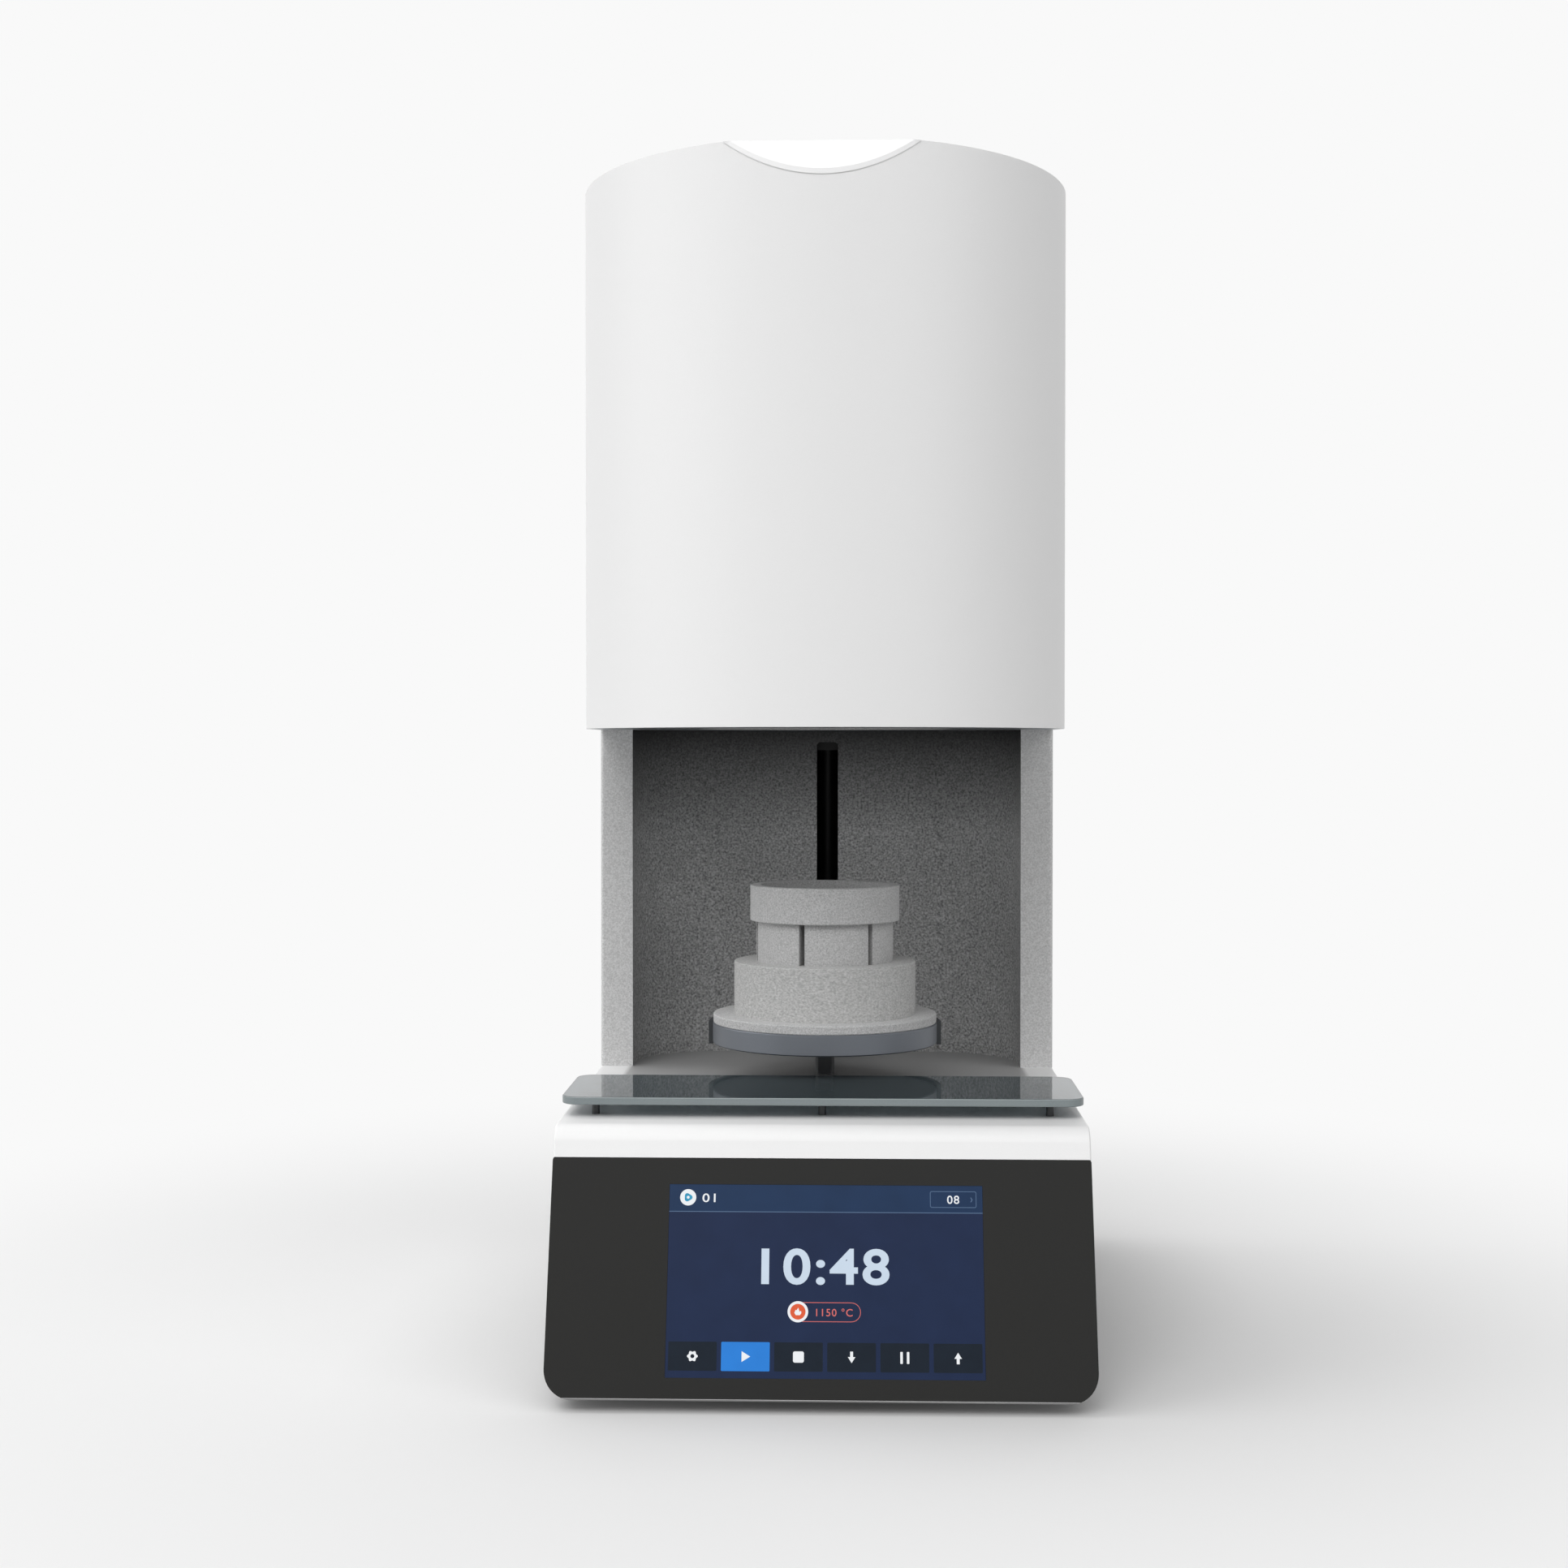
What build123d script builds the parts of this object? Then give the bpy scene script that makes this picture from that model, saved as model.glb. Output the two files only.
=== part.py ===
from build123d import *
from math import atan, cos, degrees, radians, sin, sqrt, tan
import os

os.makedirs("parts", exist_ok=True)

# A bench-top dental lab furnace: a base with a leaning control panel, an open bay, and a round
# head with the heated chamber. The firing stage rises out of the bay into the chamber.
# Millimetres and degrees. +Z is up, the control panel faces -Y, and the origin is at the middle
# of the space that the furnace takes on the bench.

# ---------------------------------------------------------------- driving dimensions
# Casing
body_width = 264.0          # base, column and head alike
stage_setback = 184.0       # front toe of the base to the axis of the stage
column_setback = 61.4       # stage axis back to the cheeks of the bay
bay_depth = 65.2            # cheeks back to the face of the bay wall
lift_room = 71.9            # face of the bay wall back to the rear face
rear_trim = 1.5             # what stands out of the rear face
foot_height = 6.0
column_height = 197.0       # deck to the underside of the head
head_height = 291.0
sheet = 2.0                 # casing sheet
seam = 0.2                  # gap between fixed neighbours

# Base
front_lean = 19.6           # control panel, from the vertical
bottom_edge_radius = 13.5   # long lower edges of the base
shoulder_radius = 10.0      # bend from the panel to the deck
side_edge_radius = 1.0
base_floor = 4.0            # lip that the pan is screwed under
pan_lip = 8.0               # width of that lip
foot_inset = 20.0           # edges of the pan to the middle of each foot
foot_diameter = 28.0
foot_stem = 8.0

# Control panel
fascia_thickness = 3.0
fascia_corner = 1.2
toe_lip = 0.8               # casing that shows below the fascia
screen_width = 152.4        # seven-inch display
screen_height = 91.4
screen_x = 2.3
screen_rise = 10.7          # toe to the lower edge of the display, up the slope
screen_drop = 12.8          # upper edge of the display to the top of the fascia
shoulder_run = 15.7         # top of the fascia to the line of the deck, up the slope
display_margin = 5.5        # frame of the display around its glass
display_depth = 7.0
board_thickness = 1.6

# Glass shelf
shelf_depth = 76.0
shelf_thickness = 4.0
shelf_corner = 9.0
shelf_setback = 66.4        # front toe of the base to the front of the glass
shelf_gap = 6.5             # under the glass
pin_diameter = 4.0
pin_inset = 16.5            # side of the glass to the outer pins
pin_row_setback = 13.0      # front of the glass to the first row of pins
pin_row_gap = 35.0
pin_pad_diameter = 9.0
pin_pad_thickness = 0.8

# Bay and column
cheek_width = 18.7
bay_corner = 50.0           # rounded rear corners of the bay
bay_flange = 10.0           # fold behind each cheek
cheek_edge_radius = 2.0
slot_width = 13.0
slot_top_gap = 7.0          # top of the slot to the head
slot_bottom_gap = 4.0       # deck to the bottom of the slot
slot_corner = 2.5
flange_width = 14.0         # folded edges that the screws go into
tab_length = 24.0

# Top cover
facet_chord = 98.8          # top edge of the slanted facet
facet_slope = 62.8          # facet, from the horizontal
facet_thickness = 1.2
facet_overhang = 0.4
top_thickness = 2.5

# Firing stage, from the arm upwards
arm_gap = 6.4               # deck to the underside of the arm at rest
arm_width = 10.0
arm_height = 16.9
arm_front = 12.0            # front end of the arm, ahead of the stage axis
table_diameter = 124.4
table_thickness = 11.3
cradle_wall = 2.4
cradle_drop = 1.6           # cradle below the underside of the table
cradle_height = 13.1
flange_rim = 0.3            # table that shows around the flange
flange_thickness = 4.9
plug_diameter = 100.6
plug_height = 29.1
ring_diameter = 75.8
ring_height = 22.5
ring_core_diameter = 58.0
ring_floor = 4.0
ring_slot_count = 6
ring_slot_width = 3.2
ring_slot_turn = -18.5      # first slot, from the front
dish_diameter = 82.8
dish_height = 19.6
dish_wall = 6.0
dish_floor = 6.0
edge_break = 0.6
closing_gap = 0.5           # flange to the head with the stage up

# Head and chamber
floor_plate = 3.0
mouth_gap = 2.0             # plug to the mouth ring, all round
mouth_ring_wall = 17.7
mouth_ring_height = 23.0
chamber_height = 119.0      # underside of the head to the chamber roof
pillar_gap = 3.7            # head wall to the front pillars
can_gap = 4.1               # front pillars to the can
roof_thickness = 70.0
can_wall = 2.0
element_count = 4
element_inset = 5.3         # chamber wall to the plane of each element
element_pitch = 20.0        # leg to leg
element_wire = 4.0
element_rod = 8.0           # thick cold end
element_tip_gap = 7.0       # raised plug to the bend of the elements
element_stand_out = 31.0    # cold ends above the can lid
cold_end_dip = 7.0          # cold ends above the chamber roof
hole_gap = 0.3
clamp_length = 24.0
clamp_width = 12.0
clamp_height = 14.0
clamp_rise = 13.0           # lid to the underside of the clamps
clamp_shift = 6.0           # clamp centre outside its rod
strap_width = 8.0
strap_thickness = 1.5
block_width = 92.0
block_depth = 20.0
block_rim = 40.0            # edge of the muffle to the front of the block
probe_diameter = 6.0
probe_tip_gap = 13.0        # chamber roof to the tip
probe_head_diameter = 18.0
probe_head_height = 20.0
pillar_diameter = 10.0
pillar_turn = 40.0
rear_pillar_inset = 12.0    # head wall to the middle of the rear pillars
rear_pillar_setback = 103.0

# Lift
arm_foot_gap = 3.4          # bay wall to the foot of the arm
carriage_width = 100.0
carriage_depth = 36.0
carriage_height = 48.0
carriage_top_gap = 3.7      # carriage above the top of the arm
arm_foot_width = 40.0
arm_foot_height = 34.0
arm_foot_depth = 6.0
rod_inset = 14.0            # side of the carriage to the rods
rod_diameter = 12.0
bush_wall = 2.5
bush_length = 40.0
screw_diameter = 12.0
nut_diameter = 22.0
nut_flange_diameter = 32.0
nut_flange_thickness = 5.0
nut_length = 30.0
running_gap = 0.05          # shafts in their bores
frame_side_room = 6.0       # limit switches to the sides of the frame
frame_sheet = 8.0
frame_back = 4.0
frame_back_gap = 4.0        # carriage to the back plate
carriage_gap = 2.0          # carriage to the bearing plate at rest
carriage_stop_gap = 1.0     # carriage to the top plate with the stage up
bearing_diameter = 28.0
motor_size = 57.0
motor_height = 42.0
motor_corner = 4.0
motor_boss_diameter = 38.0
motor_boss_height = 1.6
screw_clear = 0.4           # motor boss to the end of the screw
frame_foot_width = 14.0
frame_foot_height = 6.0
switch_body = (6.0, 20.0, 10.0)
switch_gap = 2.0

# Electrical parts in the base
pan_thickness = 2.0
transformer_bore = 36.0
transformer_height = 48.0
transformer_round = 8.0
transformer_inset = 11.5    # side of the pan to the transformer
supply_gap = 13.0           # transformer to the power supply, side to side
transformer_setback = 161.5 # front of the pan to the transformer
post_diameter = 10.0
post_height = 8.0
supply_size = (96.0, 140.0, 40.0)
supply_inset = 12.5
supply_setback = 128.5
supply_cover = 1.5
supply_holes = (11, 17)
spacer_height = 8.0
spacer_diameter = 6.0
spacer_inset = 5.0
controller_size = (100.0, 96.0)
controller_inset = 14.5
controller_setback = 42.5
chip_size = (16.0, 16.0)
memory_size = (10.0, 22.0)
memory_gap = 30.0           # processor to the memory chips
socket_size = (40.0, 6.0)
chip_height = 3.0
capacitor_diameter = 10.0
capacitor_height = 14.0
capacitor_pitch = 16.0
relay_size = (45.0, 58.0, 28.0)
relay_setback = 43.5
sink_size = (60.0, 70.0, 14.0)
sink_plate = 5.0
sink_fin = 1.6
sink_fins = 9
lead_diameter = 6.0
lead_gap = 14.0
lead_inset = 34.0           # side of the casing to the outer lead
lead_start = 20.0           # middle of the terminal block to the first lead
lead_back = 40.0            # straight run behind the terminal block
lead_fall = 60.0            # slanting run down to the side
lead_bend = 16.0

# Rear face
fan_size = 80.0
fan_depth = 25.0
fan_wall = 2.0              # thinnest wall around the fan's bore
fan_hole_inset = 4.25
fan_corner = 4.0
fan_drop = 52.0             # top of the head to the fan axis
fan_hub = 34.0
fan_hub_wall = 5.0
fan_pin = 4.0
fan_clear = 1.0             # rotor to the stator and to the front of the frame
strut_width = 5.0
fan_blades = 7
fan_blade_pitch = 38.0
fan_tip_gap = 1.5
blade_thickness = 1.6
blade_chord = 14.0
blade_bury = 2.0            # root of each blade inside the hub
guard_bar = 2.0
guard_pitch = 8.0
guard_ring_count = 4
inlet_width = 28.0
inlet_height = 50.0
inlet_corner = 5.0
inlet_inset = 20.0          # side of the casing to the inlet
inlet_border = 3.0          # flange of the inlet beside its body
inlet_screw_inset = 5.0
socket_width = 17.0
socket_height = 25.0
socket_cut = 4.0            # two cut corners
socket_depth = 16.0
prong_length = 14.0
prong_size = (4.0, 2.0)
prong_spread = 7.0
power_row_up = 64.0         # underside of the base to the inlet and switch axes
inlet_depth = 22.0
switch_inset = 50.0
switch_width = 21.0
switch_border = 1.0
switch_corner = 1.5
rocker_width = 15.0
rocker_height = 23.0
rocker_swing = 24.0
rocker_end = 6.5            # pivot to the outer corners of the rocker
rocker_middle = 4.0         # pivot to the hollow of the rocker
rocker_root = 3.0
rocker_edge = 2.0
rocker_pin = 2.0
rocker_gap = 0.4            # each side of the rocker
rocker_end_gap = 1.7        # each end of the rocker
rocker_floor_gap = 3.5
pivot_depth = 7.3           # rear face to the rocker's pivot
fuse_inset = 26.0
fuse_pitch = 22.0
fuse_diameter = 16.0
fuse_border = 1.5
fuse_notch = (8.0, 1.2)
fuse_notch_depth = 1.0
vent_length = 46.0
vent_height = 3.0
vent_pitch = 9.0
vent_rows = 3
vent_rise = 101.9           # underside of the head to the upper air slots of the rear cover

# Screws
small_screw = 3.0           # countersunk, in the casing
small_screw_length = 6.0
pillar_screw = 4.0          # countersunk, in the ends of the pillars
pillar_screw_length = 12.0
arm_screw = 4.0
arm_screw_length = 14.0
arm_screw_inset = 7.0
cap_screw_size = 4.0        # socket head, in the column and the lift frame
cap_screw_length = 8.0
cap_head_height = 3.5
fan_screw = 4.0
fan_screw_head = 7.0
fan_screw_length = 14.5
screw_slot = (4.0, 1.0)
stud_diameter = 3.0
stud_length = 6.0

# ---------------------------------------------------------------- derived places
lean = radians(front_lean)
fascia_length = screen_rise + screen_height + screen_drop
screen_up_slope = screen_rise + screen_height / 2
base_height = (fascia_length + shoulder_run) * cos(lean)

case_depth = stage_setback + column_setback + bay_depth + lift_room
toe_y = -(case_depth + rear_trim) / 2
rear_y = toe_y + case_depth
stage_y = toe_y + stage_setback
column_y = stage_y + column_setback
wall_y = column_y + bay_depth
half_width = body_width / 2
inner_half = half_width - sheet
seam_y = rear_y - sheet     # where the casings end and the rear cover lies on them

base_z = foot_height
deck_z = base_z + base_height
head_z = deck_z + column_height
top_z = head_z + head_height
rear_plane = Plane.XZ.offset(-rear_y)
front_plane = Plane(origin=(0, toe_y, base_z), x_dir=(1, 0, 0), z_dir=(0, -cos(lean), sin(lean)))

arm_z = deck_z + arm_gap
table_z = arm_z + arm_height
flange_z = table_z + table_thickness
plug_z = flange_z + flange_thickness
ring_z = plug_z + plug_height
dish_z = ring_z + ring_height
lift_travel = head_z - plug_z - closing_gap
flange_diameter = table_diameter - 2 * flange_rim


def front_y(z, inset=0.0):
    """Depth of the leaning front at height z, moved inwards by inset square to its face."""
    return toe_y + (z - base_z) * tan(lean) + inset / cos(lean)


def panel_point(up_slope, depth):
    """Point of the control panel in the side view, measured from its toe and inwards."""
    return (
        toe_y + up_slope * sin(lean) + depth * cos(lean),
        base_z + up_slope * cos(lean) - depth * sin(lean),
    )


def write(piece, name):
    """Label a finished piece and write its own STEP file."""
    piece.part.label = name
    export_step(piece.part, f"parts/{name}.step")


def countersunk(diameter, length):
    """A flat-head screw with its head's face at z = 0 and its shank down."""
    head = diameter
    with BuildPart() as screw:
        with BuildSketch(Plane.XZ):
            with BuildLine():
                Polyline(
                    (0, 0),
                    (head, 0),
                    (diameter / 2, -diameter / 2),
                    (diameter / 2, -length),
                    (0, -length),
                    close=True,
                )
            make_face()
        revolve(axis=Axis.Z)
        with BuildSketch():
            RegularPolygon(radius=diameter * 0.35, side_count=6)
        extrude(amount=-diameter * 0.4, mode=Mode.SUBTRACT)
    return screw.part


def cap_screw(diameter, length, head_height):
    """A socket-head screw with its head standing on z = 0 and its shank down."""
    with BuildPart() as screw:
        Cylinder(diameter * 0.85, head_height, align=(Align.CENTER, Align.CENTER, Align.MIN))
        Cylinder(diameter / 2, length, align=(Align.CENTER, Align.CENTER, Align.MAX))
        with BuildSketch(Plane.XY.offset(head_height)):
            RegularPolygon(radius=diameter * 0.45, side_count=6)
        extrude(amount=-head_height * 0.6, mode=Mode.SUBTRACT)
    return screw.part


# ---------------------------------------------------------------- base casing
shoulder_y = front_y(deck_z)
with BuildPart() as base_form:
    with BuildSketch(Plane.YZ):
        with BuildLine():
            Polyline(
                (toe_y, base_z), (shoulder_y, deck_z), (rear_y, deck_z), (rear_y, base_z), close=True
            )
        make_face()
    extrude(amount=half_width, both=True)
    fillet(base_form.edges().filter_by(Axis.Y).group_by(Axis.Z)[0], bottom_edge_radius)
    shoulder = base_form.edges().filter_by(Axis.X).filter_by_position(Axis.Z, deck_z - 1, deck_z + 1)
    fillet(shoulder.sort_by(Axis.Y)[0], shoulder_radius)

hollow_z = base_z + base_floor
hollow_top_z = deck_z - sheet
front_wall = fascia_thickness + sheet
with BuildPart() as base_hollow:
    with BuildSketch(Plane.YZ):
        with BuildLine():
            Polyline(
                (front_y(hollow_z, front_wall), hollow_z),
                (front_y(hollow_top_z, front_wall), hollow_top_z),
                (seam_y, hollow_top_z),
                (seam_y, hollow_z),
                close=True,
            )
        make_face()
    extrude(amount=inner_half, both=True)
    fillet(base_hollow.edges().filter_by(Axis.Y).group_by(Axis.Z)[0], bottom_edge_radius - sheet)

# The fascia fills a recess whose lower side is level, so that a thin lip stays below it.
lip_z = base_z + toe_lip
with BuildPart() as fascia_form:
    with BuildSketch(Plane.YZ):
        with BuildLine():
            Polyline(
                (front_y(lip_z), lip_z),
                panel_point(fascia_length, 0),
                panel_point(fascia_length, fascia_thickness),
                (front_y(lip_z, fascia_thickness), lip_z),
                close=True,
            )
        make_face()
    extrude(amount=half_width, both=True)

# Places that several pieces share. The pan closes the base from below, inside the rounded edges.
pan_half = half_width - bottom_edge_radius
pan_front_y = front_y(base_z) + bottom_edge_radius
pan_rear_y = seam_y - sheet
pan_middle_y = (pan_front_y + pan_rear_y) / 2
pan_length = pan_rear_y - pan_front_y
pan_top_z = base_z + pan_thickness
lead_x = [-half_width + lead_inset + lead_gap * i for i in range(2)]
foot_front_y = wall_y + sheet + arm_foot_gap
carriage_front_y = foot_front_y + arm_foot_depth
screw_y = carriage_front_y + carriage_depth / 2
frame_width = carriage_width + 2 * (switch_gap + switch_body[0] + frame_side_room)
frame_rear_y = carriage_front_y + carriage_depth + frame_back_gap + frame_back
frame_depth = frame_rear_y - carriage_front_y
frame_middle_y = (carriage_front_y + frame_rear_y) / 2
frame_foot_places = [
    (
        side * (frame_width + frame_foot_width) / 2,
        frame_middle_y + end * (frame_depth - frame_foot_width) / 2,
    )
    for side in (-1, 1)
    for end in (-1, 1)
]
deck_hole_gap = 2.0
deck_hole_front_y = foot_front_y - deck_hole_gap
deck_hole_depth = frame_rear_y + deck_hole_gap - deck_hole_front_y
shelf_front_y = toe_y + shelf_setback
pin_x = half_width - pin_inset
pin_rows_y = [shelf_front_y + pin_row_setback + pin_row_gap * i for i in range(2)]
pin_places = [(x, y) for y in pin_rows_y for x in (-pin_x, 0, pin_x)]
tower_tab_y = [column_y + bay_depth * 0.75, seam_y - flange_width - tab_length]
tower_tab_x = inner_half - flange_width / 2
tower_places = [(side * tower_tab_x, y) for side in (-1, 1) for y in tower_tab_y]
power_z = base_z + power_row_up
inlet_x = -half_width + inlet_inset
inlet_body_width = inlet_width - 2 * inlet_border
inlet_screw_places = [
    (inlet_x, power_z + side * (inlet_height / 2 - inlet_screw_inset)) for side in (-1, 1)
]
inlet_body_height = inlet_height - 4 * inlet_screw_inset
switch_x = -half_width + switch_inset
well_width = rocker_width + 2 * rocker_gap
well_height = rocker_height + 2 * rocker_end_gap
switch_height = well_height + 4 * switch_border
switch_body_width = switch_width - 2 * switch_border
switch_body_height = switch_height - 2 * switch_border
fuse_x = [half_width - fuse_inset - fuse_pitch * i for i in range(2)]
fuse_body_diameter = fuse_diameter - 2 * fuse_border
cover_screw_places = [
    (side * (inner_half - flange_width / 2), z)
    for side in (-1, 1)
    for z in (
        deck_z + 2 * flange_width,
        head_z - flange_width,
        head_z + flange_width,
        top_z - 2 * flange_width,
    )
]
pan_screw_places = [
    (side * (pan_half - pan_lip / 2), pan_middle_y + step * (pan_length / 2 - pan_lip))
    for side in (-1, 1)
    for step in (-1, 0, 1)
]

with BuildPart() as base_cover:
    add(base_form.part)
    add(base_hollow.part, mode=Mode.SUBTRACT)
    # recess that the fascia lies in, with a seam above it
    add(fascia_form.part, mode=Mode.SUBTRACT)
    with BuildSketch(front_plane):
        with Locations((0, fascia_length)):
            Rectangle(body_width, 2 * seam)
    extrude(amount=-fascia_thickness, mode=Mode.SUBTRACT)
    # rounded side edges of the deck and the shoulder, down to the recess
    side_edges = base_cover.faces().filter_by(Axis.X).edges().filter_by(
        lambda edge: abs(edge.center().X) > inner_half
        and edge.center().Z > panel_point(fascia_length, 0)[1]
        and edge.center().Y < rear_y - sheet
    )
    fillet(side_edges, side_edge_radius)
    # opening for the back of the display
    with BuildSketch(front_plane):
        with Locations((screen_x, screen_up_slope)):
            Rectangle(
                screen_width + 2 * display_margin + 2 * seam,
                screen_height + 2 * display_margin + 2 * seam,
            )
    extrude(amount=-2 * front_wall, mode=Mode.SUBTRACT)
    # opening in the bottom, and the recess for the pan around it
    with BuildSketch(Plane.XY.offset(base_z)):
        with Locations((0, pan_middle_y)):
            Rectangle(2 * (pan_half - pan_lip), pan_length - 2 * pan_lip)
    extrude(amount=base_floor, mode=Mode.SUBTRACT)
    with BuildSketch(Plane.XY.offset(base_z)):
        with Locations((0, pan_middle_y)):
            Rectangle(2 * pan_half, pan_length)
    extrude(amount=pan_thickness, mode=Mode.SUBTRACT)
    with Locations(*[(x, y, base_z + base_floor / 2) for x, y in pan_screw_places]):
        Cylinder(small_screw / 2, base_floor, mode=Mode.SUBTRACT)
    # holes in the deck: the lift, the heating leads, the shelf pins and the column's screws
    with BuildSketch(Plane.XY.offset(deck_z)):
        with Locations((0, deck_hole_front_y)):
            Rectangle(
                frame_width + 2 * deck_hole_gap, deck_hole_depth, align=(Align.CENTER, Align.MIN)
            )
        with Locations(*[(x, screw_y) for x in lead_x]):
            Circle(lead_diameter)
        with Locations(*pin_places):
            Circle(stud_diameter / 2)
        with Locations(*tower_places):
            Circle(cap_screw_size / 2)
    extrude(amount=-2 * sheet, mode=Mode.SUBTRACT)
    # openings in the rear face
    with BuildSketch(rear_plane):
        with Locations((inlet_x, power_z)):
            Rectangle(inlet_body_width + seam, inlet_body_height + seam)
        with Locations(*inlet_screw_places):
            Circle(small_screw / 2)
        with Locations((switch_x, power_z)):
            Rectangle(switch_body_width + seam, switch_body_height + seam)
        with Locations(*[(x, power_z) for x in fuse_x]):
            Circle((fuse_body_diameter + seam) / 2)
        with Locations((0, deck_z - vent_pitch * (vent_rows + 1) / 2)):
            with GridLocations(vent_length + vent_pitch, vent_pitch, 2, vent_rows):
                SlotOverall(vent_length, vent_height)
    extrude(amount=2 * sheet, mode=Mode.SUBTRACT)
write(base_cover, "base_cover")

foot_places = [
    (side * (pan_half - foot_inset), pan_middle_y + end * (pan_length / 2 - foot_inset))
    for side in (-1, 1)
    for end in (-1, 1)
]
with BuildPart() as base_pan:
    with BuildSketch(Plane.XY.offset(base_z)):
        with Locations((0, pan_middle_y)):
            Rectangle(2 * (pan_half - seam), pan_length - 2 * seam)
    extrude(amount=pan_thickness)
    # rim folded up inside the lip
    with BuildSketch(Plane.XY.offset(base_z + pan_thickness)):
        with Locations((0, pan_middle_y)):
            Rectangle(2 * (pan_half - pan_lip - seam), pan_length - 2 * (pan_lip + seam))
            Rectangle(
                2 * (pan_half - pan_lip - seam - pan_thickness),
                pan_length - 2 * (pan_lip + seam + pan_thickness),
                mode=Mode.SUBTRACT,
            )
    extrude(amount=base_floor)
    with Locations(*[(x, y, base_z) for x, y in pan_screw_places]):
        with Locations(Rot(180, 0, 0)):
            CounterSinkHole(small_screw / 2, small_screw, depth=2 * pan_thickness, counter_sink_angle=90)
    with Locations(*[(x, y, base_z) for x, y in foot_places]):
        Cylinder(foot_stem / 2, 3 * pan_thickness, mode=Mode.SUBTRACT)
    # screw holes of the lift frame, and air slots under the electrical parts
    with BuildSketch(Plane.XY.offset(base_z)):
        with Locations(*frame_foot_places):
            Circle(cap_screw_size / 2)
        with Locations((0, pan_middle_y)):
            with GridLocations(vent_length + vent_pitch, vent_pitch, 3, vent_rows):
                SlotOverall(vent_length, vent_height)
    extrude(amount=pan_thickness, mode=Mode.SUBTRACT)
write(base_pan, "base_pan")

# One kind of screw holds the pan, the rear cover and the mains inlet.
small_screw_solid = countersunk(small_screw, small_screw_length)
with BuildPart() as casing_screws:
    with Locations(*[Location((x, y, base_z), (180, 0, 0)) for x, y in pan_screw_places]):
        add(small_screw_solid)
    with Locations(*[Location((x, rear_y, z), (-90, 0, 0)) for x, z in cover_screw_places]):
        add(small_screw_solid)
    with Locations(*[Location((x, rear_y + rear_trim, z), (-90, 0, 0)) for x, z in inlet_screw_places]):
        add(small_screw_solid)
write(casing_screws, "casing_screws")

foot_flange = 2.0
with BuildPart() as rubber_feet:
    with Locations(*[(x, y, 0) for x, y in foot_places]):
        Cone(
            foot_diameter / 2 - edge_break,
            foot_diameter / 2,
            foot_height,
            align=(Align.CENTER, Align.CENTER, Align.MIN),
        )
    with Locations(*[(x, y, base_z) for x, y in foot_places]):
        Cylinder(foot_stem / 2, pan_thickness, align=(Align.CENTER, Align.CENTER, Align.MIN))
    with Locations(*[(x, y, pan_top_z) for x, y in foot_places]):
        Cone(
            foot_stem / 2 + foot_flange,
            foot_stem / 2,
            2 * foot_flange,
            align=(Align.CENTER, Align.CENTER, Align.MIN),
        )
write(rubber_feet, "rubber_feet")

# ---------------------------------------------------------------- control panel
panel_normal = Axis(front_plane.origin, front_plane.z_dir)
with BuildPart() as fascia:
    add(fascia_form.part)
    fillet(fascia.edges().filter_by(panel_normal).group_by(Axis.Z)[-1], fascia_corner)
    add(base_form.part, mode=Mode.INTERSECT)
    with BuildSketch(front_plane):
        with Locations((screen_x, screen_up_slope)):
            Rectangle(screen_width + seam, screen_height + seam)
    extrude(amount=-2 * fascia_thickness, mode=Mode.SUBTRACT)
write(fascia, "fascia")

with BuildPart() as touch_display:
    with BuildSketch(front_plane):
        with Locations((screen_x, screen_up_slope)):
            Rectangle(screen_width, screen_height)
    extrude(amount=-fascia_thickness)
    with BuildSketch(front_plane.offset(-fascia_thickness)):
        with Locations((screen_x, screen_up_slope)):
            Rectangle(screen_width + 2 * display_margin, screen_height + 2 * display_margin)
    extrude(amount=-display_depth)
write(touch_display, "touch_display")

display_back = fascia_thickness + display_depth
with BuildPart() as display_board:
    with BuildSketch(front_plane.offset(-display_back - spacer_height)):
        with Locations((screen_x, screen_up_slope)):
            Rectangle(screen_width, screen_height - 2 * spacer_inset)
    extrude(amount=-board_thickness)
    with BuildSketch(front_plane.offset(-display_back)):
        with Locations((screen_x, screen_up_slope)):
            with GridLocations(
                screen_width - 2 * spacer_inset, screen_height - 4 * spacer_inset, 2, 2
            ):
                Circle(spacer_diameter / 2)
    extrude(amount=-spacer_height)
    # processor, memory and the socket of the flat cable
    with BuildSketch(front_plane.offset(-display_back - spacer_height - board_thickness)):
        with Locations((screen_x, screen_up_slope)):
            Rectangle(*chip_size)
            with GridLocations(2 * memory_gap, 1, 2, 1):
                Rectangle(*memory_size)
        with Locations((screen_x, screen_up_slope - screen_height / 2 + 3 * spacer_inset)):
            Rectangle(*socket_size)
    extrude(amount=-chip_height)
write(display_board, "display_board")

# ---------------------------------------------------------------- glass shelf
shelf_z = deck_z + shelf_gap
shelf_middle_y = shelf_front_y + shelf_depth / 2
with BuildPart() as glass_shelf:
    with BuildSketch(Plane.XY.offset(shelf_z)):
        with Locations((0, shelf_middle_y)):
            RectangleRounded(body_width, shelf_depth, shelf_corner)
    extrude(amount=shelf_thickness)
    chamfer(glass_shelf.faces().filter_by(Axis.Z).edges(), edge_break / 2)
write(glass_shelf, "glass_shelf")

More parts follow.
